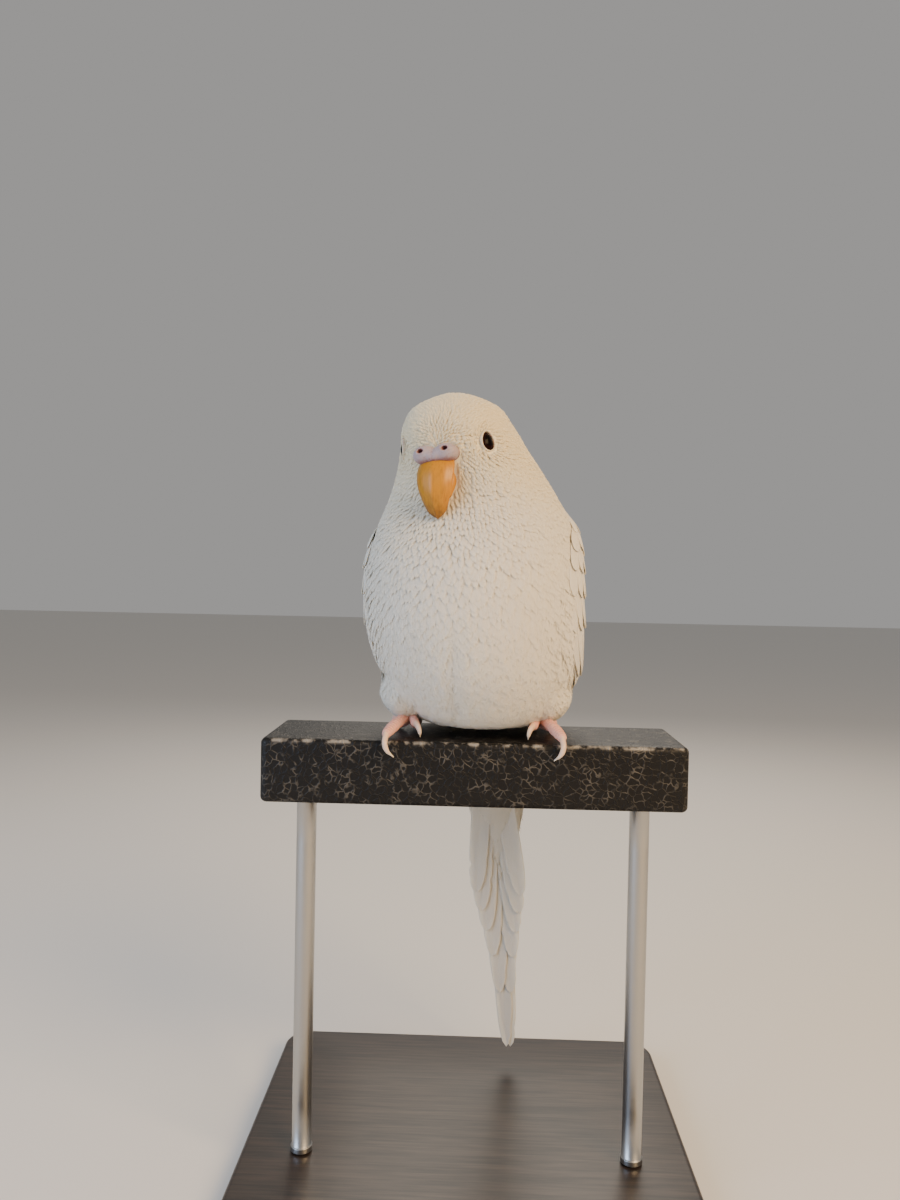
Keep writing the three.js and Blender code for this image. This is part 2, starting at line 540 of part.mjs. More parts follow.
const eyeClear = SIDES.map(([, side]) => eyeSolid(side, GAP));
const lids = SIDES.map(([, side]) => lidSolid(side));
const head = largest(cut(join([upperPart(whole, headPlane), ...lids]), eyeClear));
const neck = largest(upperPart(lowerPart(whole, headPlane), neckPlane));
const torso = largest(upperPart(lowerPart(whole, neckPlane), tailCut));
add(bird, 'head', geometryOf(head), PLUMAGE);
add(bird, 'neck', geometryOf(neck), PLUMAGE);
add(bird, 'torso', geometryOf(torso), PLUMAGE);

const nostrils = SIDES.map(([, side]) => solid(onHead(
  ellipsoid([side * CERE.nostrilSpread, CERE.y - 2.2, CERE.nostrilZ], [CERE.nostril * 1.15, 1.3, CERE.nostril], 8, 6))));
add(bird, 'cere', geometryOf(largest(cut(cereSolid(), [faceClear[1], ...nostrils]))), CERE_SKIN);
add(bird, 'bill_upper', geometryOf(billSolid(UPPER_BILL)), HORN);
add(bird, 'bill_lower', geometryOf(largest(cut(billSolid(LOWER_BILL), [faceClear[1]]))), HORN);
for (const [name, side] of SIDES) add(bird, `eye_${name}`, geometryOf(eyeSolid(side)), EYE_BALL);

const tailRoot = lowerPart(bodySolid(), tailCut);
const tail = largest(join([tailRoot, ...lowerVanes(rectrixVanes()), ...lowerVanes(underCoverts())]));
add(bird, 'tail', geometryOf(tail), PLUMAGE);

for (const [name, side] of SIDES) {
  const thighClear = thighSolid(side, GAP);
  add(bird, `wing_${name}`, geometryOf(wingSolid(side)), PLUMAGE);
  add(bird, `thigh_${name}`, geometryOf(largest(cut(thighSolid(side), [bodyClear]))), PLUMAGE);
  const leg = largest(cut(legSolid(side), [bodyClear, thighClear]));
  add(bird, `leg_${name}`, geometryOf(leg), LEG_SKIN);
  const legClear = legSolid(side, GAP);
  for (const toe of TOES) {
    add(bird, `claw_${name}_${toe.name}`, geometryOf(largest(cut(clawSolid(side, toe), [legClear, bodyClear]))), CLAW_HORN);
  }
}

// Each vane of the tail, kept below the cut at the tail's root.
function lowerVanes(vanes) {
  return vanes.map((piece) => lowerPart(piece, tailCut));
}

export default model;
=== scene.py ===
"""A fluffed white budgerigar on a short black rail, dressed around the packed solids.

Shapes are worked out in millimetres in the bird's own frame: heights from the rail's top, depths from the bird's
upright axis, the bird facing -Y. They are turned into metres in the part's frame at the end.
"""

import bpy
import numpy as np
from mathutils import Matrix, Vector


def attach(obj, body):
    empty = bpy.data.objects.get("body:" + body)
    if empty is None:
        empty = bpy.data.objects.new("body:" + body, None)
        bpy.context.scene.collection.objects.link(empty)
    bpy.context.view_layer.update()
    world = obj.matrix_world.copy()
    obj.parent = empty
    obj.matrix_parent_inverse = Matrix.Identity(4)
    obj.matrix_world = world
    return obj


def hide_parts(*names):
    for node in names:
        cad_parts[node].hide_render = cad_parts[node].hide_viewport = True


bl_info = {
    "name": "Budgerigar display model",
    "version": (1, 0, 0),
    "blender": (4, 5, 0),
    "location": "View3D > Sidebar > Budgerigar",
    "description": "Plumage, face, feet and stand of a perched white budgerigar",
    "category": "Add Mesh",
}

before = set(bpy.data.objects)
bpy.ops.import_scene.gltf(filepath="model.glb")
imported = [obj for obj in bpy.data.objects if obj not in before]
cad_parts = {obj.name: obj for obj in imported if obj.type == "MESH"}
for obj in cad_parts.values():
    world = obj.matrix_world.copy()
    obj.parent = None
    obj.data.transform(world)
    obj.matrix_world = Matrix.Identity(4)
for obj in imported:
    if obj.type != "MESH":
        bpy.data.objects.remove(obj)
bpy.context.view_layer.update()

MM = 0.001
BODY = "root"

SIDES = ((1, "left"), (-1, "right"))

# Where the bird's own frame stands on the part's: its axis, the rail's top and how far the body is turned.
AXIS = np.array([-0.7, -13.0, 104.0])
BODY_TURN = np.radians(10.0)

# The body as rings from the crown to the tip of the tail coverts: sideways shift, foremost point (y, z), rearmost point
# (y, z), half width, how much fuller it is at the back, how square it is, and how many degrees it is turned.
RINGS = np.array([
    [-4.4, -4.0, 75.6, -4.0, 75.6, 0.0, 0.0, 0.90, 11.5],
    [-4.3, -10.8, 72.6, 4.6, 73.4, 8.6, 0.04, 0.90, 11.5],
    [-4.0, -14.8, 68.2, 9.4, 69.2, 11.6, 0.09, 0.88, 11.5],
    [-3.0, -16.0, 63.2, 12.3, 64.2, 13.4, 0.13, 0.88, 11.5],
    [-1.7, -15.2, 58.0, 14.4, 58.6, 16.1, 0.09, 0.92, 10.0],
    [-0.8, -14.6, 52.3, 17.2, 52.0, 19.4, 0.03, 1.00, 6.0],
    [-0.3, -17.2, 46.0, 20.0, 45.0, 22.1, 0.0, 1.00, 1.5],
    [-0.3, -20.2, 38.5, 22.4, 37.5, 23.1, -0.02, 1.00, 0.0],
    [-0.2, -21.4, 30.0, 24.4, 29.5, 23.2, -0.03, 1.00, 0.0],
    [0.2, -20.4, 20.5, 26.2, 22.0, 22.8, -0.03, 1.00, 0.0],
    [0.8, -16.2, 10.8, 28.0, 14.5, 21.2, -0.02, 1.00, 0.0],
    [1.3, -7.4, 2.8, 29.6, 7.0, 17.6, 0.0, 1.00, 0.0],
    [0.9, 7.5, 3.0, 31.0, 0.6, 11.4, 0.0, 1.00, 0.0],
    [0.5, 19.6, 0.6, 32.8, -6.0, 9.2, 0.0, 1.00, 0.0],
    [0.7, 23.5, -11.0, 35.0, -15.0, 8.2, 0.0, 1.00, 0.0],
    [1.3, 28.8, -25.0, 37.2, -28.0, 6.2, 0.0, 1.00, 0.0],
    [2.1, 34.8, -42.0, 34.8, -42.0, 0.0, 0.0, 1.00, 0.0],
])
LAST = len(RINGS) - 1

# The coat by ring, from the crown: the length of a feather and the space between roots.
COAT = np.array([
    [2.8, 0.58], [2.8, 0.58], [2.7, 0.56], [2.7, 0.56], [3.1, 0.64], [3.9, 0.78], [4.8, 0.93], [5.6, 1.04], [6.2, 1.10],
    [6.6, 1.13], [6.4, 1.13], [6.0, 1.10], [6.0, 1.12], [6.2, 1.15], [6.4, 1.15], [6.2, 1.15], [5.0, 1.1],
])

# The pieces of the coat: name, first and last ring, and all round (0), the front half (-1) or the back half (1).
COAT_PIECES = [
    ("coat_crown", 0.0, 2.0, 0), ("coat_face", 2.0, 4.0, -1), ("coat_nape", 2.0, 4.2, 1), ("coat_throat", 4.0, 6.2, -1),
    ("coat_shoulders", 4.2, 6.2, 1), ("coat_breast", 6.2, 8.2, -1), ("coat_belly", 8.2, 10.4, -1),
    ("coat_thighs", 10.4, 16.0, -1), ("coat_back", 6.2, 16.0, 1),
]

# A small feather's length at the cere, its growth for each millimetre further off, and where that growth starts; the
# same by the lids' radii; and how deep its root lies, as a share of its length and more, up to a most. Then the spread
# of its turn aside and of its barbs along, across and up, and the depth of the crease down the belly.
CERE_SHORT, CERE_GROWTH, CERE_REACH, LID_SHORT, LID_GROWTH = 1.1, 0.15, 5.5, 0.85, 0.8
ROOT_SHARE, ROOT_LEAST, ROOT_MOST = 0.11, 0.1, 0.9
YAW, BARB_SLACK, GROOVE_DEPTH = 0.08, (0.045, 0.13, 0.03), 0.55
MOST_FACES = 200000

# The unwrap: the chart's width over the skin, and the size of each feather's patch.
CHART_WIDTH, PATCH = 2.06 * LAST, 0.003

# The head's own frame. On it the bill's halves as (z, front, rear, half width) from root to tip, the cere's swellings
# as (x, z, half width, half height) with the cere's middle height, face, back and centre, the nostrils, and the eyes.
HEAD_ORIGIN = np.array([-3.0, -1.85, 0.0])
HEAD_TURN, HEAD_LEAN, LEAN_HEIGHT = np.radians(-11.5), np.radians(-5.0), 61.0
UPPER_BILL = np.array([
    [59.8, -15.0, -12.2, 3.7], [57.8, -16.6, -13.0, 4.2], [55.4, -17.4, -14.0, 4.1], [52.9, -17.5, -14.3, 3.6],
    [50.5, -16.9, -14.4, 2.8], [48.6, -16.0, -14.5, 1.9], [47.2, -15.0, -15.0, 0.0],
])
LOWER_BILL = np.array([
    [56.8, -13.9, -10.6, 3.4], [54.8, -14.5, -10.9, 3.5], [53.0, -14.7, -11.6, 3.0], [51.4, -14.6, -12.6, 2.1],
    [50.4, -14.3, -14.3, 0.0],
])
CERE_PARTS = np.array([[-2.4, 60.9, 2.75, 2.1], [2.4, 60.9, 2.75, 2.1], [0.0, 60.4, 2.4, 1.7]])
NOSTRIL_ASIDE, NOSTRIL_HEIGHT, NOSTRIL_RADIUS = 2.75, 61.6, 0.6
CERE_HEIGHT, CERE_FRONT, CERE_BACK, CERE_CENTRE = 60.8, -14.2, -12.2, (0.0, -13.2, 60.6)
EYE_STATION, EYE_HIGHER, EYE_ANGLE, EYE_OUTWARD = 2.98, 0.1, 52.5, 10.0
EYE_BALL, EYE_PROUD, EYE_CAP = 3.2, 0.45, np.radians(42)
LID_RING, LID_TUBE, LID_NARROW = 2.35, 0.38, 0.78

# The folded wing: body station, angle of its leading edge and of its trailing edge from the side.
WING = np.array([
    [5.35, 10, 42], [6.2, -16, 66], [7.6, -27, 80], [8.8, -25, 86], [9.8, -10, 87], [10.8, 22, 87], [12.0, 42, 87],
    [13.6, 48, 87], [15.9, 60, 84],
], float)
# Its rows of feathers: how many, root and tip in shares of its length along the leading and the trailing edge, height
# over the body at root and tip, how square the tips are, and how much wider than its share each feather is.
WING_ROWS = [
    (9, (0.50, 0.46), (1.0, 0.76), (0.80, 1.00), 7.0, 1.05),  # primaries
    (10, (0.30, 0.30), (0.55, 0.68), (0.85, 1.25), 6.0, 1.15),  # secondaries
    (13, (0.22, 0.20), (0.43, 0.43), (0.95, 1.45), 4.0, 1.25),  # greater coverts
    (13, (0.17, 0.15), (0.31, 0.31), (1.0, 1.55), 3.2, 1.35),  # median coverts
    (12, (0.13, 0.11), (0.235, 0.235), (1.0, 1.6), 2.8, 1.4),  # lesser coverts, in three rows
    (11, (0.08, 0.07), (0.175, 0.175), (0.95, 1.6), 2.8, 1.45),
    (9, (0.03, 0.03), (0.12, 0.12), (0.8, 1.5), 2.8, 1.5),
    (7, (-0.02, -0.02), (0.065, 0.065), (0.3, 1.2), 2.8, 1.6),  # shoulder
]
# A big feather's grid along and across, its thickness, how far it stands over its neighbour and its number of splits.
VANE_ROWS, VANE_COLUMNS, VANE_THICK, VANE_TILT, VANE_SPLITS = 26, 13, 0.12, 0.42, 4
# How far the wave of its barbs turns in each millimetre, which draws them about half a millimetre apart.
BARB_WAVE = 12.6

# The tail: its root, lean and sideways swing, and per pair the depth of the tip, its place aside and its half width.
TAIL_ROOT, TAIL_LEAN, TAIL_SWING, TAIL_LAYER = np.array([0.3, 26.4, -5.0]), np.radians(11.6), 0.043, 0.42
RECTRICES_START = 9.0
RECTRICES = [
    (93.5, 0.55, 2.5), (77.0, 1.5, 2.7), (66.0, 2.6, 2.8), (58.5, 3.8, 2.8), (52.5, 4.9, 2.7), (47.0, 5.8, 2.5),
]

# The feet: the middle between them, the thigh, the shank and the four toes with their claws, as (outwards, y, z).
FOOT_MIDDLE, FOOT_ASIDE, FOOT_BACK = 0.75, 14.6, -0.5
THIGH_AT, THIGH_RADII = np.array([0.7, 0.6, 9.4]), np.array([6.2, 8.0, 6.0])
SHANK = ([[0, 0.6, 4.2], [-0.5, 2.0, 8.0], [-1.2, 3.0, 13.0]], [1.5, 1.3, 1.5])
TOES = {
    "outer_front": ([[0, 0.4, 4.3], [1.6, -3.8, 3.6], [3.2, -7.8, 2.5], [4.1, -10.7, 1.7]], [1.4, 1.15, 1.2, 1.0],
                    [[4.15, -11.0, 1.6], [4.3, -12.7, -0.1], [3.7, -13.0, -1.7], [2.4, -12.4, -3.0]]),
    "inner_front": ([[0, 0.4, 4.3], [-0.9, -2.4, 3.9], [-1.6, -5.0, 3.2]], [1.3, 1.0, 0.95],
                    [[-1.7, -5.3, 3.15], [-2.4, -6.9, 2.6], [-2.8, -7.5, 1.5], [-2.9, -7.3, 0.5]]),
    "outer_back": ([[0, 0.4, 4.3], [1.7, 3.8, 2.0], [3.2, 7.6, 1.6], [4.0, 10.4, 1.5]], [1.4, 1.1, 1.15, 0.95],
                   [[4.05, 10.7, 1.6], [4.3, 12.6, 1.9], [4.3, 14.2, 1.4], [4.1, 15.2, 0.5]]),
    "inner_back": ([[0, 0.4, 4.3], [-1.0, 3.4, 2.0], [-1.4, 6.4, 1.5]], [1.3, 1.1, 0.95],
                   [[-1.45, 6.7, 1.6], [-1.8, 8.4, 1.9], [-2.0, 9.8, 1.4], [-2.0, 10.6, 0.5]]),
}
CLAW_RADII, CLAW_FLAT, SCUTE = [0.75, 0.68, 0.45, 0.12], 0.82, 0.8

# The stand: sizes of its boards with their corner radii, and the rods with their profile as height from the nearer end
# and radius.
RAIL_SIZE, RAIL_CORNER, RAIL_MIDDLE = (92.0, 27.0, 14.0), 1.6, -10.5
BASE_SIZE, BASE_CORNER, BASE_EDGE = (104.0, 92.0, 6.0), 7.0, 1.2
ROD_SPREAD, ROD_ENDS = 38.0, (6.3, 89.7)
ROD_PROFILE = np.array([[0.0, 2.3], [0.1, 2.5], [1.2, 2.5], [1.4, 2.25]])

# The stage in metres: each light's place, size, power and colour, what they look at, and the camera's place, its turn
# left, down and round in degrees, its lens in millimetres on a sensor 36 high and its nearest reach.
LIGHTS = {
    "key_light": ((0.34, -0.36, 0.42), 0.30, 5.2, "#FFD8A4"),
    "fill_light": ((-0.42, -0.30, 0.26), 0.36, 2.4, "#C8DEFF"),
    "back_light": ((0.05, 0.42, 0.46), 0.34, 1.6, "#FFF4E4"),
}
LIT_SPOT, WORLD_COLOUR, WORLD_STRENGTH = (0, 0, 0.13), "#CFCDCB", 0.55
CAMERA_PLACE, CAMERA_TURN, CAMERA_LENS, CAMERA_SENSOR = (0.0, -0.219, 0.1388), (1.66, 1.28, 1.12), 27.5, 36.0
CAMERA_NEAR, FLOOR_HALF, FLOOR_DROP = 0.01, 3.0, 0.0002


# Numbers and points.

def linear(code):
    """A colour's linear red, green, blue and alpha from its sRGB hex value, by the sRGB curve."""
    channels = np.array([int(code[i:i + 2], 16) for i in (1, 3, 5)]) / 255
    curve = np.where(channels <= 0.04045, channels / 12.92, ((channels + 0.055) / 1.055) ** 2.4)
    return (*(float(c) for c in curve), 1.0)


def unit(v):
    """Vectors divided by their own lengths."""
    return v / np.maximum(np.linalg.norm(v, axis=-1, keepdims=True), 1e-12)


def fade(low, high, value):
    """0 below low, 1 above high, and 3t^2 - 2t^3 between."""
    t = np.clip((value - low) / (high - low), 0, 1)
    return t * t * (3 - 2 * t)


def bell(value, middle, width):
    """A bell curve, e to the power of -((value - middle) / width)^2."""
    return np.exp(-((value - middle) / width) ** 2)


def around(count):
    """Angles spaced evenly round a circle."""
    return np.linspace(0, 2 * np.pi, count + 1)[:-1]


def grid(a, b):
    """Every pair of two rows of numbers, as two tables."""
    return np.meshgrid(a, b, indexing="ij")


def turned(p, angle, axes=(0, 1)):
    """Points turned by an angle in the plane of two axes: (a cos - b sin, a sin + b cos)."""
    a, b = axes
    out = np.array(p, float)
    out[..., a] = p[..., a] * np.cos(angle) - p[..., b] * np.sin(angle)
    out[..., b] = p[..., a] * np.sin(angle) + p[..., b] * np.cos(angle)
    return out


def in_part(p):
    """Bird points as the part's points in metres: turned with the body and set on its axis."""
    return (turned(p, -BODY_TURN) + AXIS) * MM


def on_head(p):
    """Points of the head's own frame as bird points: leaned about the eye's height, turned, and moved to the head."""
    leaned = turned(p - [0, 0, LEAN_HEIGHT], -HEAD_LEAN, (0, 2)) + [0, 0, LEAN_HEIGHT]
    return turned(leaned, HEAD_TURN) + HEAD_ORIGIN


def from_head(p):
    """Bird points as points of the head's own frame, the reverse of on_head."""
    turned_back = turned(p - HEAD_ORIGIN, -HEAD_TURN) - [0, 0, LEAN_HEIGHT]
    return turned(turned_back, HEAD_LEAN, (0, 2)) + [0, 0, LEAN_HEIGHT]


def smooth(rows, at, before=None, after=None):
    """Rows of numbers read between whole places along a uniform Catmull-Rom curve."""
    rows, at = np.asarray(rows, float), np.asarray(at, float)
    before, after = rows[0] if before is None else before, rows[-1] if after is None else after
    padded = np.vstack([before[None], rows, after[None]])
    i = np.clip(np.floor(at).astype(int), 0, len(rows) - 2)
    t = (at - i)[..., None]
    a, b, c, d = (padded[i + k] for k in range(4))
    return 0.5 * (2 * b + (c - a) * t + (2 * a - 5 * b + 4 * c - d) * t ** 2 + (3 * b - a - 3 * c + d) * t ** 3)


# The body.

def mirrored(row):
    """A ring with its front and back exchanged and its width negative, which stands past a pole."""
    return row[[0, 3, 4, 1, 2, 5, 6, 7, 8]] * [1, 1, 1, 1, 1, -1, 1, 1, 1]


BEFORE_CROWN, AFTER_TIP = mirrored(RINGS[1]), mirrored(RINGS[-2])


def body_point(s, angle):
    """A superellipse ring at station s: aside = half cos^q (1 + egg sin), depth = sin^q, between front and back."""
    x, fy, fz, by, bz, half, egg, square, turn = np.moveaxis(smooth(RINGS, s, BEFORE_CROWN, AFTER_TIP), -1, 0)
    c, d = np.cos(angle), np.sin(angle)
    depth = np.sign(d) * np.abs(d) ** square
    dx, dy = half * np.sign(c) * np.abs(c) ** square * (1 + egg * d), depth * (by - fy) / 2
    turn = np.radians(turn)
    return np.stack([x + dx * np.cos(turn) + dy * np.sin(turn),
                     (fy + by) / 2 - dx * np.sin(turn) + dy * np.cos(turn),
                     (fz + bz) / 2 + depth * (bz - fz) / 2], -1)


def chart_point(ab):
    """The body read on a flat chart: the distance from its middle is the station, the direction is the angle."""
    return body_point(np.clip(np.hypot(ab[..., 0], ab[..., 1]), 0, LAST - 0.02), np.arctan2(ab[..., 1], ab[..., 0]))


def slopes(surface, ab, step=0.01):
    """The two edge vectors of a chart's surface, by differences, and its outward normal, their cross product."""
    along_a = (surface(ab + [step, 0]) - surface(ab - [step, 0])) / (2 * step)
    along_b = (surface(ab + [0, step]) - surface(ab - [0, step])) / (2 * step)
    return along_a, along_b, unit(np.cross(along_a, along_b))


def thigh_rise(p, n):
    """How far a ray from a body point along its normal runs before it leaves a thigh's ellipsoid, faded where it only
    grazes it."""
    p, n = turned(p, -BODY_TURN), turned(n, -BODY_TURN)
    rise = np.zeros(p.shape[:-1])
    for side in (-1, 1):
        middle = np.array([FOOT_MIDDLE, FOOT_BACK, 0]) + THIGH_AT * [side, 1, 1] + [side * FOOT_ASIDE, 0, 0]
        q, m = (p - middle) / THIGH_RADII, n / THIGH_RADII
        mm, qm = (m * m).sum(-1), (q * m).sum(-1)
        near = 1 - (q * q).sum(-1) + qm * qm / mm
        reach = (-qm + np.sqrt(np.maximum(mm * near, 0))) / mm
        rise = np.maximum(rise, fade(0, 0.8, near) * 5 * np.tanh(np.clip(reach, 0, None) / 5))
    return rise


def flesh(ab):
    """The body with its thighs, on the body's chart."""
    p = chart_point(ab)
    n = slopes(chart_point, ab)[2]
    return p + n * thigh_rise(p, n)[..., None]


def chart(s, angle):
    """Stations and angles as places on the chart."""
    return np.stack([s * np.cos(angle), s * np.sin(angle)], -1)


def eye_place(side):
    """The spot of an eye on the head, the way it looks and the ball's middle."""
    spot = chart(np.array(EYE_STATION - side * EYE_HIGHER), np.radians(270 + side * EYE_ANGLE))
    surface, normal = chart_point(spot), slopes(chart_point, spot)[2]
    look = turned(normal, side * np.radians(EYE_OUTWARD))
    return surface, look, surface + look * (EYE_PROUD - EYE_BALL)


EYES = {side: eye_place(side) for side in (-1, 1)}
CERE_MIDDLE = on_head(np.array(CERE_CENTRE))


def eye_axes(look):
    """The level and the upright directions across the line that an eye looks along."""
    aside = unit(np.cross([0, 0, 1.0], look))
    return aside, np.cross(look, aside)


def around_eye(p, side):
    """A point's distance from an eye's line of sight, in radii of its lid ring."""
    surface, look, _ = EYES[side]
    aside, upright = eye_axes(look)
    d = p - surface
    far = np.abs(d @ look) > 5
    return np.hypot(d @ aside / (LID_RING * LID_NARROW), d @ upright / LID_RING) + 10 * far


def nearest_eye(p):
    """A point's distance from the nearer eye's line of sight, in radii of its lid ring."""
    return np.minimum(around_eye(p, -1), around_eye(p, 1))


def lie(p, n, yaw):
    """The way the coat lies: away from the cere, down and a little back, round the eyes, along the skin, and turned
    aside by the tangent of yaw."""
    flow = unit(p - CERE_MIDDLE) + [0, 0.25, -0.6]
    for side in EYES:
        d = p - EYES[side][0]
        r = np.linalg.norm(d, axis=-1, keepdims=True)
        flow = flow + 1.9 * bell(r, 0, 4.4) * d / r
    flow = unit(flow - n * (flow * n).sum(-1, keepdims=True))
    return unit(flow + np.cross(n, flow) * yaw[..., None])


def walk(ab, length, yaw, steps):
    """Steps along the coat's lie over the body: at each, the chart's two edge vectors are solved for the way to go."""
    for _ in range(steps):
        a, b, n = slopes(flesh, ab)
        way = lie(flesh(ab), n, yaw)
        aa, bb, cross = (a * a).sum(-1), (b * b).sum(-1), (a * b).sum(-1)
        wa, wb = (way * a).sum(-1), (way * b).sum(-1)
        area = aa * bb - cross ** 2
        move = np.stack([bb * wa - cross * wb, aa * wb - cross * wa], -1) / area[..., None]
        ab = ab + move * (length / steps)[..., None]
    return ab


# The wing and tail charts.

def wing_angles(s):
    """The angles of the wing's leading and trailing edges at a station, read along its rows."""
    row = np.clip(np.searchsorted(WING[:, 0], s) - 1, 0, len(WING) - 2)
    share = (s - WING[row, 0]) / (WING[row + 1, 0] - WING[row, 0])
    return np.radians(np.moveaxis(smooth(WING[:, 1:], row + share), -1, 0))


def wing_place(side, u, v, height):
    """A point over the body: share u of the wing's length, share v from its leading edge, and a height."""
    s = WING[0, 0] + (WING[-1, 0] - WING[0, 0]) * u
    lead, trail = wing_angles(s)
    angle = lead + (trail - lead) * v
    spot = chart(s, angle if side > 0 else np.pi - angle)
    return chart_point(spot) + slopes(chart_point, spot)[2] * height[..., None]


def wing_share(ab):
    """The wing's shares (u, v) of places on the body's chart."""
    s, angle = np.hypot(ab[..., 0], ab[..., 1]), np.arctan2(ab[..., 1], ab[..., 0])
    angle = np.where(np.abs(angle) > np.pi / 2, np.sign(angle) * np.pi - angle, angle)
    lead, trail = wing_angles(np.clip(s, WING[0, 0], WING[-1, 0]))
    return (s - WING[0, 0]) / (WING[-1, 0] - WING[0, 0]), (angle - lead) / (trail - lead)


def tail_place(drop, aside, lift):
    """A point of the tail's leaning plane: a depth below the rail's top, a place aside, and a layer to the back."""
    along = drop + TAIL_ROOT[2]
    x = TAIL_ROOT[0] + aside + TAIL_SWING * along
    y = TAIL_ROOT[1] + along * np.tan(TAIL_LEAN) + lift * np.cos(TAIL_LEAN)
    return np.stack([x, y, -drop + lift * np.sin(TAIL_LEAN)], -1)


# Meshes.

def grid_faces(rows, columns, wrap, ring=False):
    """The four-cornered faces of a grid of points, joined round across its columns by wrap and its rows by ring."""
    i, j = grid(np.arange(rows - 1 + ring), np.arange(columns - 1 + wrap))
    k, low, high = (j + 1) % columns, i * columns, (i + 1) % rows * columns
    return np.stack([low + j, low + k, high + k, high + j], -1).reshape(-1, 4)


def closed_rings(rings):
    """A closed surface from rings of points (rows, columns, 3), with a fan from the middle of each end ring."""
    rows, columns = rings.shape[:2]
    points = np.vstack([rings.reshape(-1, 3), rings[0].mean(0), rings[-1].mean(0)])
    j = np.arange(columns)
    k = (j + 1) % columns
    low = (rows - 1) * columns
    fans = np.vstack([np.stack([np.full(columns, len(points) - 2), k, j], -1),
                      np.stack([np.full(columns, len(points) - 1), low + j, low + k], -1)])
    return points, [grid_faces(rows, columns, True), fans]


def outwards(points, faces):
    """Faces with their order reversed where the shape's signed volume, a sum of tetrahedra, is negative."""
    thirds = np.concatenate([np.vstack([f[:, [0, 1, 2]], f[:, [0, 2, 3]]]) if f.shape[1] == 4 else f for f in faces])
    a, b, c = (points[thirds[:, k]] for k in range(3))
    volume = (a * np.cross(b, c)).sum()
    return [f[:, ::-1] for f in faces] if volume < 0 else faces


def joined(shapes):
    """Several (points, faces) as one."""
    points, faces, start = [], [], 0
    for one, parts in shapes:
        points.append(one)
        faces += [f + start for f in outwards(one, parts)]
        start += len(one)
    return np.vstack(points), faces


def add_mesh(name, points, faces, material, attributes=None, uv=None, smooth_faces=True, nodes=()):
    """Puts points in metres and faces, turned outwards, into a mesh at the origin that rides on the body and stands for
    its nodes."""
    mesh = bpy.data.meshes.new(name)
    faces = outwards(points, faces)
    sizes = np.concatenate([np.full(len(f), f.shape[1]) for f in faces])
    corners = np.concatenate([f.ravel() for f in faces]).astype(np.int32)
    mesh.vertices.add(len(points))
    mesh.vertices.foreach_set("co", np.ascontiguousarray(points, np.float32).ravel())
    mesh.loops.add(len(corners))
    mesh.loops.foreach_set("vertex_index", corners)
    mesh.polygons.add(len(sizes))
    mesh.polygons.foreach_set("loop_start", np.concatenate([[0], np.cumsum(sizes)[:-1]]).astype(np.int32))
    mesh.polygons.foreach_set("use_smooth", np.full(len(sizes), smooth_faces))
    mesh.update(calc_edges=True)
    for key, values in (attributes or {}).items():
        mesh.attributes.new(key, "FLOAT", "POINT").data.foreach_set("value", values.ravel().astype(np.float32))
    if uv is not None:
        mesh.uv_layers.new(name="OFBake").uv.foreach_set("vector", uv[corners].ravel().astype(np.float32))
    mesh.materials.append(material)
    piece = bpy.data.objects.new(name, mesh)
    bpy.context.scene.collection.objects.link(piece)
    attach(piece, BODY)
    if nodes:
        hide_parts(*nodes)


# Feathers.

def tuft_shape(barbs=6):
    """One small feather with length 1 and half width 1: a closed four-sided blade of four rings that ends in a point,
    and on each side a row of closed pointed barbs that sweep out and forward from its shaft."""
    along, wide, thick = [0.0, 0.3, 0.62, 0.88], [0.3, 0.62, 0.6, 0.34], [0.03, 0.045, 0.04, 0.02]
    blade = [[t, x * w, h * k] for t, w, k in zip(along, wide, thick) for x, h in ((-1, 0), (0, 1), (1, 0), (0, -1))]
    quads = grid_faces(4, 4, True)
    fans = [[12 + j, 12 + (j + 1) % 4, 16] for j in range(4)] + [[2, 1, 0], [3, 2, 0]]
    shapes = [(np.array(blade + [[1.0, 0.0, 0.0]]), [np.vstack([quads[:, [0, 1, 2]], quads[:, [0, 2, 3]], fans])])]
    for side in (-1, 1):
        for start in np.linspace(0.1, 0.84, barbs):
            end = min(start + 0.34 - 0.12 * start, 1.04)
            reach = np.interp(end, [0, 0.3, 0.6, 0.85, 1.04], [0.6, 1.0, 1.0, 0.7, 0.16])
            spike = [[start, side * 0.1, 0.03], [start + 0.13, side * 0.06, 0.03], [start + 0.06, side * 0.06, -0.02],
                     [end, side * reach, -0.02]]
            shapes.append((np.array(spike), [np.array([[0, 1, 2], [0, 3, 1], [1, 3, 2], [2, 3, 0]])]))
    # Along, across and up make a left-handed set, so the faces are turned outwards in the mirror.
    mirror = np.array([1, 1, -1])
    points, faces = joined([(one * mirror, parts) for one, parts in shapes])
    loose = np.concatenate([np.zeros(17), np.tile([0, 0, 0, 1], 2 * barbs)])
    return points * mirror, np.vstack(faces), loose


TUFT, TUFT_FACES, TUFT_LOOSE = tuft_shape()


def coat_length(ab, p):
    """How long a feather is where it grows: by station, and shorter towards the cere and round the eyes."""
    to_cere, to_eye = np.linalg.norm(p - CERE_MIDDLE, axis=-1), nearest_eye(p)
    by_ring = smooth(COAT, np.hypot(ab[..., 0], ab[..., 1]))[..., 0]
    length = np.minimum(by_ring, CERE_SHORT + CERE_GROWTH * np.maximum(to_cere - CERE_REACH, 0))
    return np.minimum(length, LID_SHORT + LID_GROWTH * np.maximum(to_eye - 1.0, 0) + 0.3 * (to_eye > 3))


def coat_depth(length):
    """How deep the roots lie under the coat's outer face: a ninth of the feather's length and a little more."""
    return np.minimum(ROOT_SHARE * length + ROOT_LEAST, ROOT_MOST)


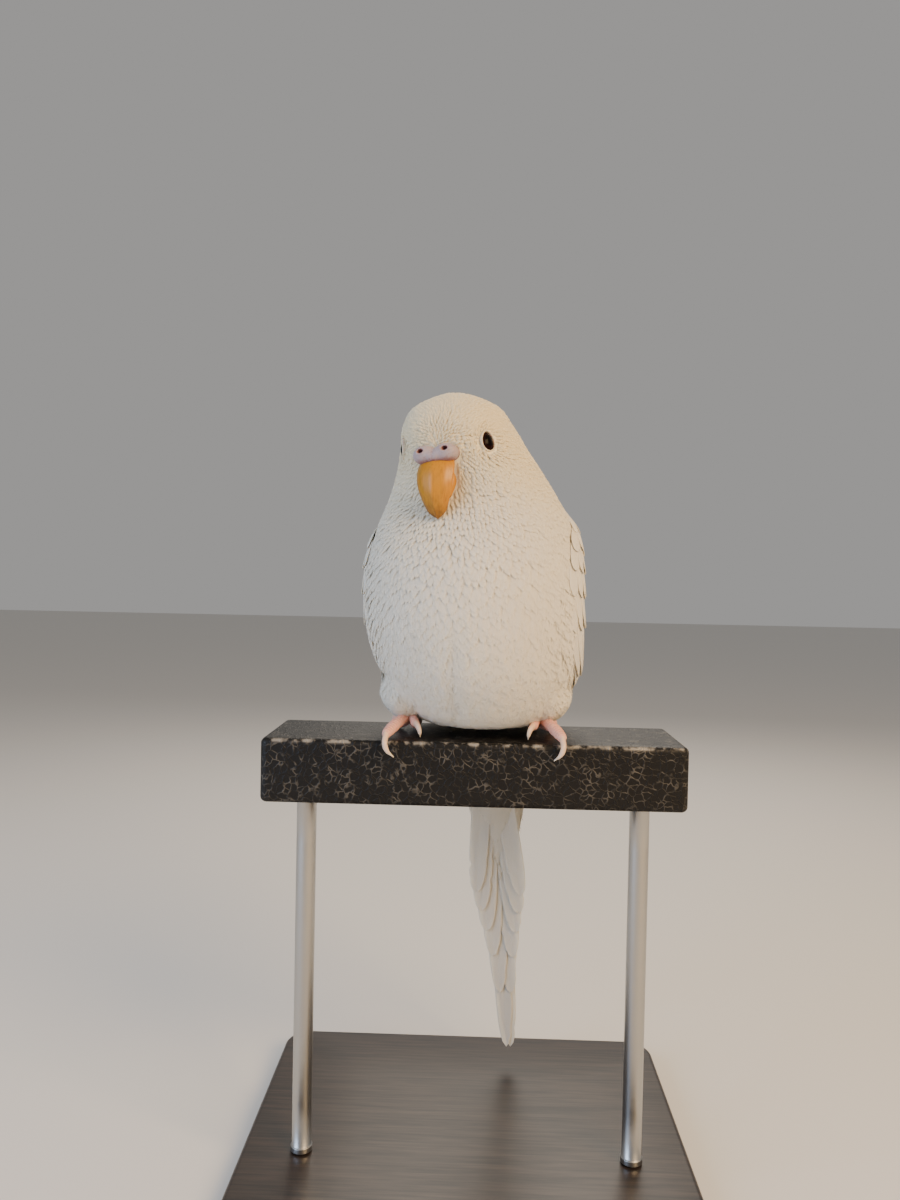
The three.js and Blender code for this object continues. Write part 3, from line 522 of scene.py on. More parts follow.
def flank(ab):
    """How much the feathers in front of the folded wing stand over its leading edge: a bell curve across that edge."""
    u, v = wing_share(ab)
    return 1.1 * bell(v, 0.02, 0.13) * fade(-0.02, 0.10, u) * (1 - fade(0.25, 0.42, u))


def groove(p):
    """How deep the soft crease down the middle of the belly is: a bell curve across, faded at its two ends."""
    x, y, z = np.moveaxis(p, -1, 0)
    return GROOVE_DEPTH * bell(x + 0.9 - 0.05 * (z - 12), 0, 1.5) * fade(1, 8, z) * (1 - fade(18, 27, z)) * (y < 0)


def tufts(ab, length, half, top, generator):
    """Small feathers over the body. Each follows a curve over it from its root to its tip, p0 (1-t)^2 + 2 bend t (1-t)
    + p1 t^2, and rises from the depth of the roots to the coat's face by 1 - (1-t)^1.6, with tips lifted behind."""
    count = len(ab)
    yaw = generator.normal(0, YAW, count)
    middle = walk(ab, length / 2, yaw, 2)
    tip = walk(middle, length / 2, yaw, 2)
    p0, pm, p1 = flesh(ab), flesh(middle), flesh(tip)
    n0, n1 = slopes(flesh, ab)[2], slopes(flesh, tip)[2]
    bend = 2 * pm - (p0 + p1) / 2
    noise = generator.normal(0, 1, (count, len(TUFT), 3)) * TUFT_LOOSE[None, :, None]
    t = TUFT[None, :, 0] + BARB_SLACK[0] * noise[..., 0]
    across = TUFT[None, :, 1] * (1 + BARB_SLACK[1] * noise[..., 1])
    p0, p1, bend, n0, n1, t1 = p0[:, None], p1[:, None], bend[:, None], n0[:, None], n1[:, None], t[..., None]
    centre = p0 * (1 - t1) ** 2 + 2 * bend * t1 * (1 - t1) + p1 * t1 ** 2
    ahead = unit((bend - p0) * (1 - t1) + (p1 - bend) * t1)
    n = unit(n0 * (1 - t1) + n1 * t1)
    side = unit(np.cross(ahead, n))
    depth = coat_depth(coat_length(ab, p0[:, 0]))[:, None]
    lifted = 0.16 * fade(-2, 6, p0[..., 1]) * t ** 3
    rise = -depth + (depth + top[:, None]) * (1 - np.clip(1 - t, 0, 1) ** 1.6) + lifted - groove(centre)
    height = rise + TUFT[None, :, 2] + BARB_SLACK[2] * noise[..., 2] - 0.04 * across ** 2
    points = centre + side * (across * half[:, None])[..., None] + n * height[..., None]
    uv = ab[:, None] / CHART_WIDTH + 0.5 + PATCH * np.stack([across / 2, t - 0.5], -1)
    return points, uv, np.clip(t, 0, 1)


def from_cere(x, z, margin=0.0):
    """Distances squared of a place (x, z) of the head from each swelling of the cere, (x/rx)^2 + (z/rz)^2."""
    aside, height, wide, high = CERE_PARTS.T
    return ((x[..., None] - aside) / (wide + margin)) ** 2 + ((z[..., None] - height) / (high + margin)) ** 2


def bare(p, ab):
    """Where no feather grows: inside the lids, under the cere and the bill's root, and under the folded wings."""
    x, y, z = np.moveaxis(from_head(p), -1, 0)
    on_cere = from_cere(x, z, 0.15).min(-1) < 1
    under_bill = (np.abs(x) < 3.7) & (z > 53.5) & (z < 60.5)
    u, v = wing_share(ab)
    under_wing = (u > 0.1) & (u < 0.97) & (v > 0.15) & (v < 0.94)
    return (on_cere | under_bill) & (y < 0) | (nearest_eye(p) < 1.02) | under_wing


def scattered():
    """Roots spread over the body by the golden-ratio sequence, as dense as 1 / space^2 asks for at each spot."""
    turns = 360
    s, angle = grid(np.linspace(0.04, LAST - 0.5, 500), np.linspace(-np.pi, np.pi, turns + 1)[:-1])
    ab = chart(s, angle)
    a, b, _ = slopes(flesh, ab)
    step, arc = s[1, 0] - s[0, 0], 2 * np.pi / turns
    area = np.linalg.norm(np.cross(a, b), axis=-1) * s * step * arc
    weight = area / smooth(COAT, s)[..., 1] ** 2 * ~bare(flesh(ab), ab)
    rows = weight.sum(1)
    sequence = (0.5 + np.arange(1, int(rows.sum()) + 1)[:, None] * [0.7548776662, 0.5698402910]) % 1
    total = np.concatenate([[0], np.cumsum(rows)]) / rows.sum()
    row = np.clip(np.searchsorted(total, sequence[:, 0]) - 1, 0, len(rows) - 1)
    within = (sequence[:, 0] - total[row]) / (total[row + 1] - total[row])
    shares = np.cumsum(weight, 1) / np.maximum(weight.sum(1, keepdims=True), 1e-9)
    place = np.searchsorted((shares + np.arange(len(rows))[:, None]).ravel(), row + sequence[:, 1] * 0.999999)
    column = np.clip(place - row * turns, 0, turns - 1)
    before = np.where(column > 0, shares[row, column - 1], 0)
    inside = (sequence[:, 1] - before) / np.maximum(shares[row, column] - before, 1e-9)
    return chart(s[row, 0] + within * step, angle[0, 0] + (column + np.clip(inside, 0, 1)) * 2 * np.pi / turns)


def vanes(place, roots, tips, rises, wide, square, generator, swell=0.12):
    """Big feathers as closed thin sheets. Each has an outline sqrt(1 - t^square) wide with a narrower root, a shaft
    raised along its middle, a camber, an edge raised over its neighbour and a few splits in its vanes. Gives their
    points and faces with shares along and across."""
    t, x = grid(1 - (1 - np.linspace(0, 1, VANE_ROWS)) ** 1.25, np.linspace(-1, 1, VANE_COLUMNS))
    count = len(roots)
    roots, tips = np.asarray(roots, float)[:, None, None], np.asarray(tips, float)[:, None, None]
    outline = np.minimum(1, 0.55 + 1.6 * t) * np.sqrt(np.clip(1 - t ** square, 0, 1))
    spots = generator.uniform(0.45, 0.95, (count, 1, 1, VANE_SPLITS))
    sides = generator.choice([-1, 1], (count, 1, 1, VANE_SPLITS))
    along, off = t[None, ..., None], np.abs(x[None, ..., None])
    edge = np.clip(off, 0, 1) * (np.sign(x[None, ..., None]) == sides)
    split = (bell(along - spots - 0.05 * off, 0, 0.012) * edge ** 3).sum(-1)
    reach = x * outline * (1 - 0.16 * split)
    at = roots + (tips - roots) * along
    across = reach * np.asarray(wide)[:, None, None]
    shaft = swell * bell(x, 0, 0.1) * (1 - 0.7 * t)
    rise = rises[0] + (rises[1] - rises[0]) * t + shaft + 0.10 * (1 - x ** 2)
    tilt = rises[2] * 0.5 * (1 - x) * (0.4 + 0.6 * t)
    top = place(at[..., 0], at[..., 1], across, rise + tilt)
    under = place(at[..., 0], at[..., 1], across, rise + tilt - VANE_THICK - 0.5 * shaft)

    one = VANE_ROWS * VANE_COLUMNS
    faces = grid_faces(VANE_ROWS, VANE_COLUMNS, False)
    index = np.arange(one).reshape(VANE_ROWS, VANE_COLUMNS)
    rim = np.concatenate([index[0, :-1], index[:-1, -1], index[-1, :0:-1], index[:0:-1, 0]])
    ring = np.roll(rim, -1)
    faces = np.vstack([faces[:, ::-1], faces + one, np.stack([rim, ring, ring + one, rim + one], -1)])
    faces = (faces[None] + (2 * one * np.arange(count))[:, None, None]).reshape(-1, 4)
    shares = np.broadcast_to(np.stack([t, x], -1), (2 * count, *t.shape, 2)).reshape(-1, 2)
    return np.stack([top, under], 1).reshape(-1, 3), faces, shares


def add_vanes(node, shapes, material):
    """Joins rows of vanes into one mesh that stands for a node, with shares along and across each feather, its length
    and a patch of the unwrap for it at its root's place."""
    starts = np.cumsum([0] + [len(points) for points, _, _ in shapes])
    faces = np.vstack([corners + start for (_, corners, _), start in zip(shapes, starts)])
    points, shares = np.vstack([shape[0] for shape in shapes]), np.vstack([shape[2] for shape in shapes])
    each, shaft = 2 * VANE_ROWS * VANE_COLUMNS, VANE_COLUMNS // 2
    sheets = points.reshape(-1, each, 3)
    root, tip = sheets[:, shaft], sheets[:, (VANE_ROWS - 1) * VANE_COLUMNS + shaft]
    length = np.repeat(np.linalg.norm(tip - root, axis=-1), each) * shares[:, 0]
    low, high = points.min(0), points.max(0)
    place = ((np.repeat(root, each, 0) - low) / (high - low))[:, [1, 2]]
    uv = 0.02 + 0.95 * place + PATCH * np.stack([shares[:, 1] / 2, shares[:, 0]], -1)
    attributes = {"along": 0.35 + 0.65 * shares[:, 0], "across": shares[:, 1], "length": length}
    add_mesh("feathers_" + node, in_part(points), [faces], material, attributes, uv, nodes=(node,))


# Materials.

def add_node(tree, kind, inputs=None, **settings):
    """Adds one shader node with its settings, and fills its sockets with values or with other nodes' outputs."""
    node = tree.nodes.new("ShaderNode" + kind)
    for key, value in settings.items():
        setattr(node, key, value)
    for key, value in (inputs or {}).items():
        if isinstance(value, bpy.types.NodeSocket):
            tree.links.new(value, node.inputs[key])
        else:
            node.inputs[key].default_value = value
    return node


def start_material(name, **sockets):
    """A new material with one principled shader, its fixed values and its object coordinates."""
    material = bpy.data.materials.new(name)
    material.use_nodes = True
    tree = material.node_tree
    tree.nodes.clear()
    shader = add_node(tree, "BsdfPrincipled", {key.replace("_", " "): value for key, value in sockets.items()})
    add_node(tree, "OutputMaterial", {"Surface": shader.outputs[0]})
    return material, tree, shader, add_node(tree, "TexCoord").outputs["Object"]


def carried(tree, name):
    """The value that a mesh carries under a name."""
    return add_node(tree, "Attribute", attribute_name=name).outputs["Fac"]


def noise(tree, vector, scale, detail):
    """Fractal noise, scale spots to the metre."""
    return add_node(tree, "TexNoise", {"Vector": vector, "Scale": scale, "Detail": detail}).outputs[0]


def remap(tree, value, low, high, at_low, at_high, **settings):
    """A value carried in a straight line from one range to another, and held at its ends."""
    return add_node(tree, "MapRange", {0: value, 1: low, 2: high, 3: at_low, 4: at_high}, **settings).outputs[0]


def reckon(tree, operation, *values, **settings):
    """One step of arithmetic."""
    return add_node(tree, "Math", dict(enumerate(values)), operation=operation, **settings).outputs[0]


def blend(tree, share, one, other):
    """A colour between two, which are settings or other nodes' outputs."""
    one, other = (c if isinstance(c, bpy.types.NodeSocket) else (*c, 1) for c in (one, other))
    return add_node(tree, "Mix", {0: share, 6: one, 7: other}, data_type="RGBA").outputs[2]


def finish_material(tree, shader, colour=None, height=None, strength=0.0, depth=0.0):
    """Gives the shader its colour and bumps its surface by a height, depth metres deep."""
    if colour:
        tree.links.new(colour, shader.inputs["Base Color"])
    if height:
        bump = add_node(tree, "Bump", {"Strength": strength, "Distance": depth, "Height": height})
        tree.links.new(bump.outputs[0], shader.inputs["Normal"])


def plumage(name, vane=False, under=False):
    """Feather keratin without pigment: ivory white, soft and matte, light passes a little way into it. The head and
    throat are creamier and clouds 14 mm across break the white. Painted shade: each small feather's root is mixed
    greyer, the wing and tail feathers greyer all along, and the skin under the coat a quarter greyer, for the shade
    between the feathers."""
    look = bpy.context.scene.budgerigar_plumage
    material, tree, shader, coords = start_material(
        name, Roughness=0.62 if vane else 0.8, IOR=1.45, Specular_IOR_Level=0.25, Sheen_Weight=0.2,
        Subsurface_Weight=0.3, Subsurface_Radius=(1.0, 0.8, 0.55), Subsurface_Scale=0.0014)
    height = add_node(tree, "SeparateXYZ", {0: coords}).outputs[2]
    cream = remap(tree, height, 0.142, 0.172, 0.10, 0.85, interpolation_type="SMOOTHSTEP")
    clouds = reckon(tree, "MULTIPLY", noise(tree, coords, 70.0, 3.0), 0.35)
    base = blend(tree, reckon(tree, "ADD", cream, clouds, use_clamp=True), look.white, look.cream)
    # Painted shade: the share of the grey root colour, a quarter on the skin under the coat, most at each small
    # feather's root and greyer all along the wing and tail feathers.
    if under:
        painted_root_shade = 0.25
    else:
        painted_root_shade = remap(tree, carried(tree, "along"), 0.0, 0.7, *((0.8, 0.5) if vane else (0.3, 0.0)))
    barbs = None
    if vane:
        # Barbs slant out from the shaft. Real ones are 0.1 mm apart; they are drawn wider so that they show.
        off = reckon(tree, "ABSOLUTE", carried(tree, "across"))
        slant = reckon(tree, "MULTIPLY_ADD", off, -2.4, carried(tree, "length"))
        barbs = reckon(tree, "SINE", reckon(tree, "MULTIPLY", slant, BARB_WAVE))
    finish_material(tree, shader, blend(tree, painted_root_shade, base, look.root), barbs, 0.25, 0.00008)
    return material


def eye_glass():
    """A wet eyeball: near-black pupil and dark plum-brown iris under a clear cornea, which gives one faint light."""
    look = bpy.context.scene.budgerigar_face
    material, tree, shader, coords = start_material(
        "eye_wet_iris", Roughness=0.25, IOR=1.38, Specular_IOR_Level=0.06, Coat_Weight=0.07, Coat_Roughness=0.02,
        Coat_IOR=1.33)
    iris = remap(tree, carried(tree, "across"), 0.34, 0.46, 0.0, 1.0)
    fibres = reckon(tree, "MULTIPLY", iris, noise(tree, coords, 2600.0, 2.0))
    finish_material(tree, shader, blend(tree, fibres, look.pupil, look.iris))
    return material


def bare_skin(name, light, deep, grain, rough):
    """Thin bare skin over blood: soft and slightly waxy, paler on its swells and deeper in its folds and grain. In the
    cere's nostrils and crease the deeper colour is painted shade.
    """
    material, tree, shader, coords = start_material(
        name, Roughness=rough, IOR=1.4, Specular_IOR_Level=0.4, Subsurface_Weight=0.3,
        Subsurface_Radius=(1.0, 0.45, 0.35), Subsurface_Scale=0.001)
    speck = remap(tree, noise(tree, coords, grain, 4.0), 0.35, 0.7, -0.15, 0.25)
    share = reckon(tree, "ADD", carried(tree, "along"), speck, use_clamp=True)
    pores = add_node(tree, "TexVoronoi", {"Vector": coords, "Scale": grain * 1.6}).outputs["Distance"]
    finish_material(tree, shader, blend(tree, share, light, deep), pores, 0.3, 0.00006)
    return material


def horn(name, light, deep, rough, streaks):
    """Grown horn: smooth and slightly clear, with fine streaks along its growth and a deeper colour towards one end."""
    material, tree, shader, coords = start_material(
        name, Roughness=rough, IOR=1.54, Specular_IOR_Level=0.35, Subsurface_Weight=0.15,
        Subsurface_Radius=(1.0, 0.6, 0.25), Subsurface_Scale=0.0008, Coat_Weight=0.1, Coat_Roughness=0.25)
    stretched = add_node(tree, "Mapping", {"Vector": coords, "Scale": (1.0, 1.0, 0.14)}).outputs[0]
    grown = noise(tree, stretched, streaks, 3.0)
    line = remap(tree, grown, 0.35, 0.75, -0.15, 0.35)
    share = reckon(tree, "ADD", carried(tree, "along"), line, use_clamp=True)
    finish_material(tree, shader, blend(tree, share, light, deep), grown, 0.15, 0.00005)
    return material


def hammered_paint():
    """Black hammered powder paint on steel: satin black cells about 1.6 mm across, parted by a broken silvery network
    that stands a little proud, and pale bare metal in places along the front top edge, partly wear and partly a painted
    highlight of that edge."""
    look = bpy.context.scene.budgerigar_stand
    material, tree, shader, coords = start_material(
        "rail_hammered_black_paint", Roughness=0.5, IOR=1.5, Specular_IOR_Level=0.25, Coat_Weight=0.05,
        Coat_Roughness=0.2)
    drift = add_node(tree, "TexNoise", {"Vector": coords, "Scale": 420.0, "Detail": 2.0}).outputs[1]
    moved = add_node(tree, "Mix", {0: 0.0022, 4: coords, 5: drift}, data_type="VECTOR").outputs[1]
    cells = add_node(tree, "TexVoronoi", {"Vector": moved, "Scale": 640.0}, feature="DISTANCE_TO_EDGE").outputs[0]
    vein = remap(tree, cells, 0.01, 0.11, 1.0, 0.0, interpolation_type="SMOOTHSTEP")
    breaks = noise(tree, coords, 430.0, 3.0)
    broken = reckon(tree, "MULTIPLY", vein, remap(tree, breaks, 0.46, 0.66, 0.0, 0.75))
    # Pale metal along the front top edge: partly wear, partly a painted highlight of the edge.
    edge_wear_and_highlight = reckon(tree, "MULTIPLY", carried(tree, "edge"), remap(tree, breaks, 0.44, 0.60, 0.0, 0.75))
    metal = reckon(tree, "MULTIPLY", reckon(tree, "MAXIMUM", broken, edge_wear_and_highlight), 0.6)
    tree.links.new(metal, shader.inputs["Metallic"])
    painted = blend(tree, broken, look.paint, look.vein)
    finish_material(tree, shader, blend(tree, edge_wear_and_highlight, painted, look.edge_wear_and_highlight), vein, 0.5, 0.00015)
    return material


def brushed_steel():
    """Round bar of stainless steel, brushed round its girth: fine rings 0.3 mm apart stretch its reflections."""
    look = bpy.context.scene.budgerigar_stand
    material, tree, shader, coords = start_material("rod_brushed_steel", Base_Color=(*look.steel, 1), Metallic=1.0)
    rings = add_node(tree, "Mapping", {"Vector": coords, "Scale": (0.08, 0.08, 1.0)}).outputs[0]
    lines = noise(tree, rings, 3300.0, 2.0)
    tree.links.new(remap(tree, lines, 0.0, 1.0, 0.24, 0.42), shader.inputs["Roughness"])
    finish_material(tree, shader, None, lines, 0.2, 0.00003)
    return material


def stained_wood():
    """Close-grained wood with black stain under satin varnish: grain lines 0.8 mm apart run along the board."""
    look = bpy.context.scene.budgerigar_stand
    material, tree, shader, coords = start_material(
        "base_black_stained_wood", IOR=1.5, Coat_Weight=0.3, Coat_Roughness=0.3)
    length = add_node(tree, "Mapping", {"Vector": coords, "Scale": (0.05, 1.0, 1.0)}).outputs[0]
    fibres = {"Vector": length, "Scale": 1250.0, "Detail": 5.0, "Roughness": 0.6}
    grain = add_node(tree, "TexNoise", fibres).outputs[0]
    tree.links.new(remap(tree, grain, 0.0, 1.0, 0.5, 0.36), shader.inputs["Roughness"])
    colour = blend(tree, remap(tree, grain, 0.35, 0.7, 0.0, 1.0), look.stain, look.grain)
    finish_material(tree, shader, colour, grain, 0.25, 0.0001)
    return material


def stage_paper():
    """Matt pale paper, the stage's floor."""
    look = bpy.context.scene.budgerigar_stand
    return start_material("stage_paper", Base_Color=(*look.floor, 1), Roughness=0.9)[0]


# Shapes of the face, feet and stand.

def eye_ring(look, a):
    """The eye's outline across its line of sight: an upright drop, aside narrow cos a (1 - 0.16 sin a) + up sin a."""
    aside, upright = eye_axes(look)
    return aside * (LID_NARROW * np.cos(a) * (1 - 0.16 * np.sin(a)))[..., None] + upright * np.sin(a)[..., None]


def eyeball(side):
    """The part of the ball that shows, r (look cos a + ring sin a) out to the cap's angle, with a blunt cone behind."""
    _, look, middle = EYES[side]
    a, b = grid(np.linspace(0.01, EYE_CAP, 40), around(64))
    cap = middle + EYE_BALL * (look * np.cos(a)[..., None] + eye_ring(look, b) * np.sin(a)[..., None])
    back = cap[-1] + 0.8 * (middle + look * 1.1 - cap[-1])
    points, faces = closed_rings(np.concatenate([cap, back[None]]))
    return points, faces, np.concatenate([a.ravel(), np.full(64, 1.0), [0, 1]])


def lid(side):
    """The lids' rim: a tube round the eye's drop shape, beaded by |cos 12a|, thicker above, drawn down to the skin."""
    surface, look, _ = EYES[side]
    a, b = grid(around(192), around(20))
    radial = eye_ring(look, a)
    thick = LID_TUBE * (0.46 + 0.08 * np.abs(np.cos(12 * a)) + 0.08 * np.sin(a))
    path = surface + radial * LID_RING * 0.95 + look * (-0.02 + 0.10 * np.sin(a))[..., None]
    sunk = np.where(np.sin(b) < 0, 4.5, 1.0)
    points = path + unit(radial) * (thick * np.cos(b))[..., None] + look * (thick * sunk * np.sin(b))[..., None]
    return points.reshape(-1, 3), [grid_faces(*a.shape, True, True)], np.full(a.size, 0.08)


def cere_shape():
    """Two swollen lobes and a bridge as one blister: over each spot (x, z) of their outline it stands out by the root
    of a soft maximum of 1 - (x/rx)^2 - (z/rz)^2 for each, with a crease between the lobes and two round nostrils."""
    def fill(x, z):
        return np.log(np.exp((1 - from_cere(x, z)) * 5).sum(-1)) / 5 - 0.10
    a = around(180)
    low, high = np.full(180, 0.5), np.full(180, 7.0)
    for _ in range(24):
        middle = (low + high) / 2
        inner = fill(middle * np.cos(a), CERE_HEIGHT + middle * np.sin(a)) > 0
        low, high = np.where(inner, middle, low), np.where(inner, high, middle)
    t = np.sin(np.linspace(0.02, np.pi / 2, 64))[:, None]
    x, z = t * low * np.cos(a), CERE_HEIGHT + t * low * np.sin(a)
    crease = bell(x, 0, 0.5)
    hole = np.hypot(np.abs(x) - NOSTRIL_ASIDE, (z - NOSTRIL_HEIGHT) * 1.4) / (NOSTRIL_RADIUS * 0.95)
    out = 2.15 * np.maximum(fill(x, z), 0) ** 0.45 - 0.22 * crease * bell(z, NOSTRIL_HEIGHT, 1.4)
    out = out - 1.5 * np.exp(-hole ** 4) + 0.08 * bell(hole, 1.6, 0.45)
    front = np.stack([x, CERE_FRONT - out, z], -1)
    back = np.stack([x[-1], np.full(180, CERE_BACK), z[-1]], -1)
    points, faces = closed_rings(on_head(np.vstack([front, back[None]])))
    # Painted shade: the nostrils' hollows and the crease between the lobes are coloured deeper; the deeper lower edge
    # is the cere's own blush.
    deep = 1.6 * np.exp(-(hole * 0.85) ** 4) + 0.75 * (1 - fade(59.1, 60.1, z)) + 0.2 * crease
    return points, faces, np.concatenate([np.clip(deep, 0, 1.6).ravel(), np.full(180, 0.8), [0.3, 0.8]])


def bill_shape(rows, ridge):
    """Half of the bill: rings from root to tip, x = half cos a, y from the rear to the front by sin a, with a blunt
    ridge down the front and a tip that closes to a point."""
    last = len(rows) - 1
    at = np.linspace(0, 1, 73) ** 0.9 * last
    z, fore, rear, half = np.moveaxis(smooth(rows, np.minimum(at, last - 1e-6)), -1, 0)[:, :, None]
    a = around(64)[None]
    middle = fore + 0.6 * (rear - fore)
    reach = np.where(np.sin(a) > 0, rear - middle, middle - fore)
    front = np.clip(-np.sin(a), 0, 1)
    x = np.maximum(half, 0.06) * np.cos(a) * (1 - ridge * front * (1 - front) * 1.6)
    y = middle + reach * np.sin(a) - ridge * 0.9 * bell(np.cos(a), 0, 0.22) * front
    points, faces = closed_rings(on_head(np.stack([x, y, z + 0 * a], -1)))
    share = (at / last)[:, None] + 0 * a
    # Painted shade: the side of the bill away from the key light is coloured deeper, more so towards the tip.
    side = 0.6 * np.clip(-np.cos(a), 0, 1) ** 3
    return points, faces, np.concatenate([(0.8 * fade(0.45, 1.05, share) + side * share).ravel(), [0, 1]])


def tube(points, radii, steps, sides, scutes=0.0, flat=1.0):
    """A tube along a Catmull-Rom path: rings in the plane across it, round at its ends. Scutes are low steps over its
    upper half, as long as SCUTE, and pads are swells under it, by |sin| of the length."""
    points = np.asarray(points, float)
    before, after = 2 * points[0] - points[1], 2 * points[-1] - points[-2]
    path = smooth(points, np.linspace(0, len(points) - 1, steps), before, after)
    ahead = unit(np.gradient(path, axis=0))
    radius = smooth(np.array(radii)[:, None], np.linspace(0, len(radii) - 1, steps))[:, 0]
    aside = unit(np.cross(ahead, [0, 0, 1.0]) + [1e-6, 0, 0])
    upright = np.cross(aside, ahead)
    a = around(sides)[None]
    length = np.concatenate([[0], np.cumsum(np.linalg.norm(np.diff(path, axis=0), axis=1))])[:, None]
    within = (length / SCUTE) % 1
    over, below = np.clip(np.sin(a), 0, 1) ** 0.5, np.clip(-np.sin(a), 0, 1)
    swell = 1 + scutes * 0.16 * (over * (within - 0.5) + below * np.abs(np.sin(length * 1.35)))
    r = radius[:, None] * swell
    round_it = aside[:, None] * (r * flat * np.cos(a))[..., None] + upright[:, None] * (r * np.sin(a))[..., None]
    rings = path[:, None] + round_it
    caps = np.linspace(0.35, 1.35, 4)
    ends = [[path[k] + sign * ahead[k] * radius[k] * 0.9 * np.sin(c) + (rings[k] - path[k]) * np.cos(c) for c in caps]
            for k, sign in ((0, -1), (-1, 1))]
    points, faces = closed_rings(np.concatenate([ends[0][::-1], rings, ends[1]]))
    if scutes:
        crease = np.pad(scutes * 0.7 * bell(within, 0, 0.12) * over + 0 * a, ((4, 4), (0, 0)))
        return points, faces, np.concatenate([crease.ravel(), [0, 0]])
    share = np.pad(np.linspace(0, 1, steps), 4, "edge")[:, None] + 0 * a
    return points, faces, np.concatenate([share.ravel(), [0, 1]])


def foot_path(side, path):
    """A foot's path in the part's frame: mirrored for the right foot and set on the rail."""
    p = np.asarray(path, float) * [side, 1, 1] + [FOOT_MIDDLE + side * FOOT_ASIDE, FOOT_BACK, 0]
    return p + AXIS


def board(size, corner, edge, steps=6):
    """A block with rounded corners in plan and rounded edges: a rounded rectangle drawn in by edge (1 - cos a) where
    its edge turns, its height following edge sin a. Also tells which points are on the front top edge."""
    w, d, h = size
    a = around(96)
    signs = np.stack([np.sign(np.cos(a + 1e-9)), np.sign(np.sin(a + 1e-9))], -1)
    turn = np.linspace(0, np.pi / 2, steps)
    inset = np.concatenate([edge * (1 - np.sin(turn)), edge * (1 - np.cos(turn))])
    height = np.concatenate([edge * (1 - np.cos(turn)), h - edge + edge * np.sin(turn)])
    radius = np.maximum(corner - inset, 0.05)[:, None, None]
    half = np.array([w / 2, d / 2]) - inset[:, None, None] - radius
    plan = signs * half + radius * np.stack([np.cos(a), np.sin(a)], -1)
    rings = np.concatenate([plan, np.broadcast_to(height[:, None, None], (*plan.shape[:2], 1))], -1)
    inner = rings[[0, -1]] * [0.5, 0.5, 1]
    rings = np.concatenate([inner[:1], rings, inner[1:]])
    points, faces = closed_rings(rings)
    on_edge = np.concatenate([np.zeros(steps + 1), np.sin(2 * turn) ** 4, [0]])[:, None]
    return points, faces, np.concatenate([(on_edge * np.clip(-rings[..., 1], 0, 1)).ravel(), [0, 0]])


def rod_shape(x):
    """A turned rod with a low collar at each end: its radius by height, carried round."""
    low, high = ROD_ENDS
    profile = np.vstack([ROD_PROFILE * [1, 1] + [low, 0], (ROD_PROFILE * [-1, 1] + [high, 0])[::-1]])
    z, r = (np.interp(np.linspace(0, 7, 57), range(8), column)[:, None] for column in profile.T)
    a = around(64)
    return closed_rings(np.stack([x + r * np.cos(a), RAIL_MIDDLE + r * np.sin(a), z + 0 * a], -1))


# Settings.

def colour_setting(name, description, code):
    """A colour setting whose default is an sRGB hex value."""
    return bpy.props.FloatVectorProperty(name=name, description=description, subtype="COLOR", size=3, min=0, max=1,
                                         default=linear(code)[:3])


def length_setting(name, description, default):
    """A length setting in metres."""
    return bpy.props.FloatProperty(name=name, description=description, default=default, min=0, unit="LENGTH",
                                   precision=4)


class BudgerigarPlumage(bpy.types.PropertyGroup):
    """Colours and sizes of the feathers."""
    white: colour_setting("White", "Body feathers", "#F2EEE3")
    cream: colour_setting("Cream", "Head and throat feathers", "#F2E3BC")
    # The root colour is painted shade between the feathers, mixed into their roots, the wing and tail feathers and the
    # skin under the coat.
    root: colour_setting("Root", "Hidden roots of the feathers and the skin under them", "#D3CBBB")
    stand: length_setting("Stand", "How far feather tips stand over the solid's face", 0.00025)
    width: bpy.props.FloatProperty(name="Width", description="Half width of a small feather in shares of its length",
                                   default=0.33, min=0.1, max=0.6)
    seed: bpy.props.IntProperty(name="Seed", description="Start of the feathers' small differences", default=7)


class BudgerigarFace(bpy.types.PropertyGroup):
    """Colours of the eyes, lids, cere and bill."""
    pupil: colour_setting("Pupil", "Middle of the eye", "#0B0607")
    iris: colour_setting("Iris", "Ring round the pupil", "#26100F")
    lid: colour_setting("Lid", "Bare rim of the lids", "#D6C9B2")
    cere: colour_setting("Cere", "Bare skin over the bill", "#A6989B")
    # The deeper colour in the nostrils is painted shade; the blush along the cere's lower edge is its own colour.
    blush: colour_setting("Blush", "Lower edge of the cere and its nostrils", "#7F5253")
    bill: colour_setting("Bill", "Horn of the bill", "#B97C06")
    # On one side of the bill this deeper horn colour is painted shade.
    bill_tip: colour_setting("Bill tip", "Horn towards the bill's tip and edges", "#6A4413")


class BudgerigarFeet(bpy.types.PropertyGroup):
    """Colours of the legs and claws."""
    skin: colour_setting("Skin", "Scaled skin of the legs and toes", "#DFA999")
    crease: colour_setting("Crease", "Lines between the scales", "#B9796B")
    claw: colour_setting("Claw", "Horn at a claw's root", "#E0B79E")
    claw_tip: colour_setting("Claw tip", "Horn at a claw's tip", "#D9CBB6")


class BudgerigarStand(bpy.types.PropertyGroup):
    """Colours of the rail, rods, base and floor."""
    paint: colour_setting("Paint", "Black hammered paint", "#0E0D0C")
    vein: colour_setting("Vein", "Silver network in the paint", "#625E57")
    # Partly wear, partly a painted highlight along the rail's front edge.
    edge_wear_and_highlight: colour_setting("Worn", "Bare metal along the rail's front edge", "#B4AEA3")
    steel: colour_setting("Steel", "Brushed steel of the rods", "#B4B4B2")
    stain: colour_setting("Stain", "Black stain on the base", "#1A1512")
    grain: colour_setting("Grain", "Grain lines of the base", "#3A2E26")
    floor: colour_setting("Floor", "Floor of the stage", "#D8D5D0")
    edge: length_setting("Edge", "Rounding of the rail's edges", 0.0012)


# Operators.

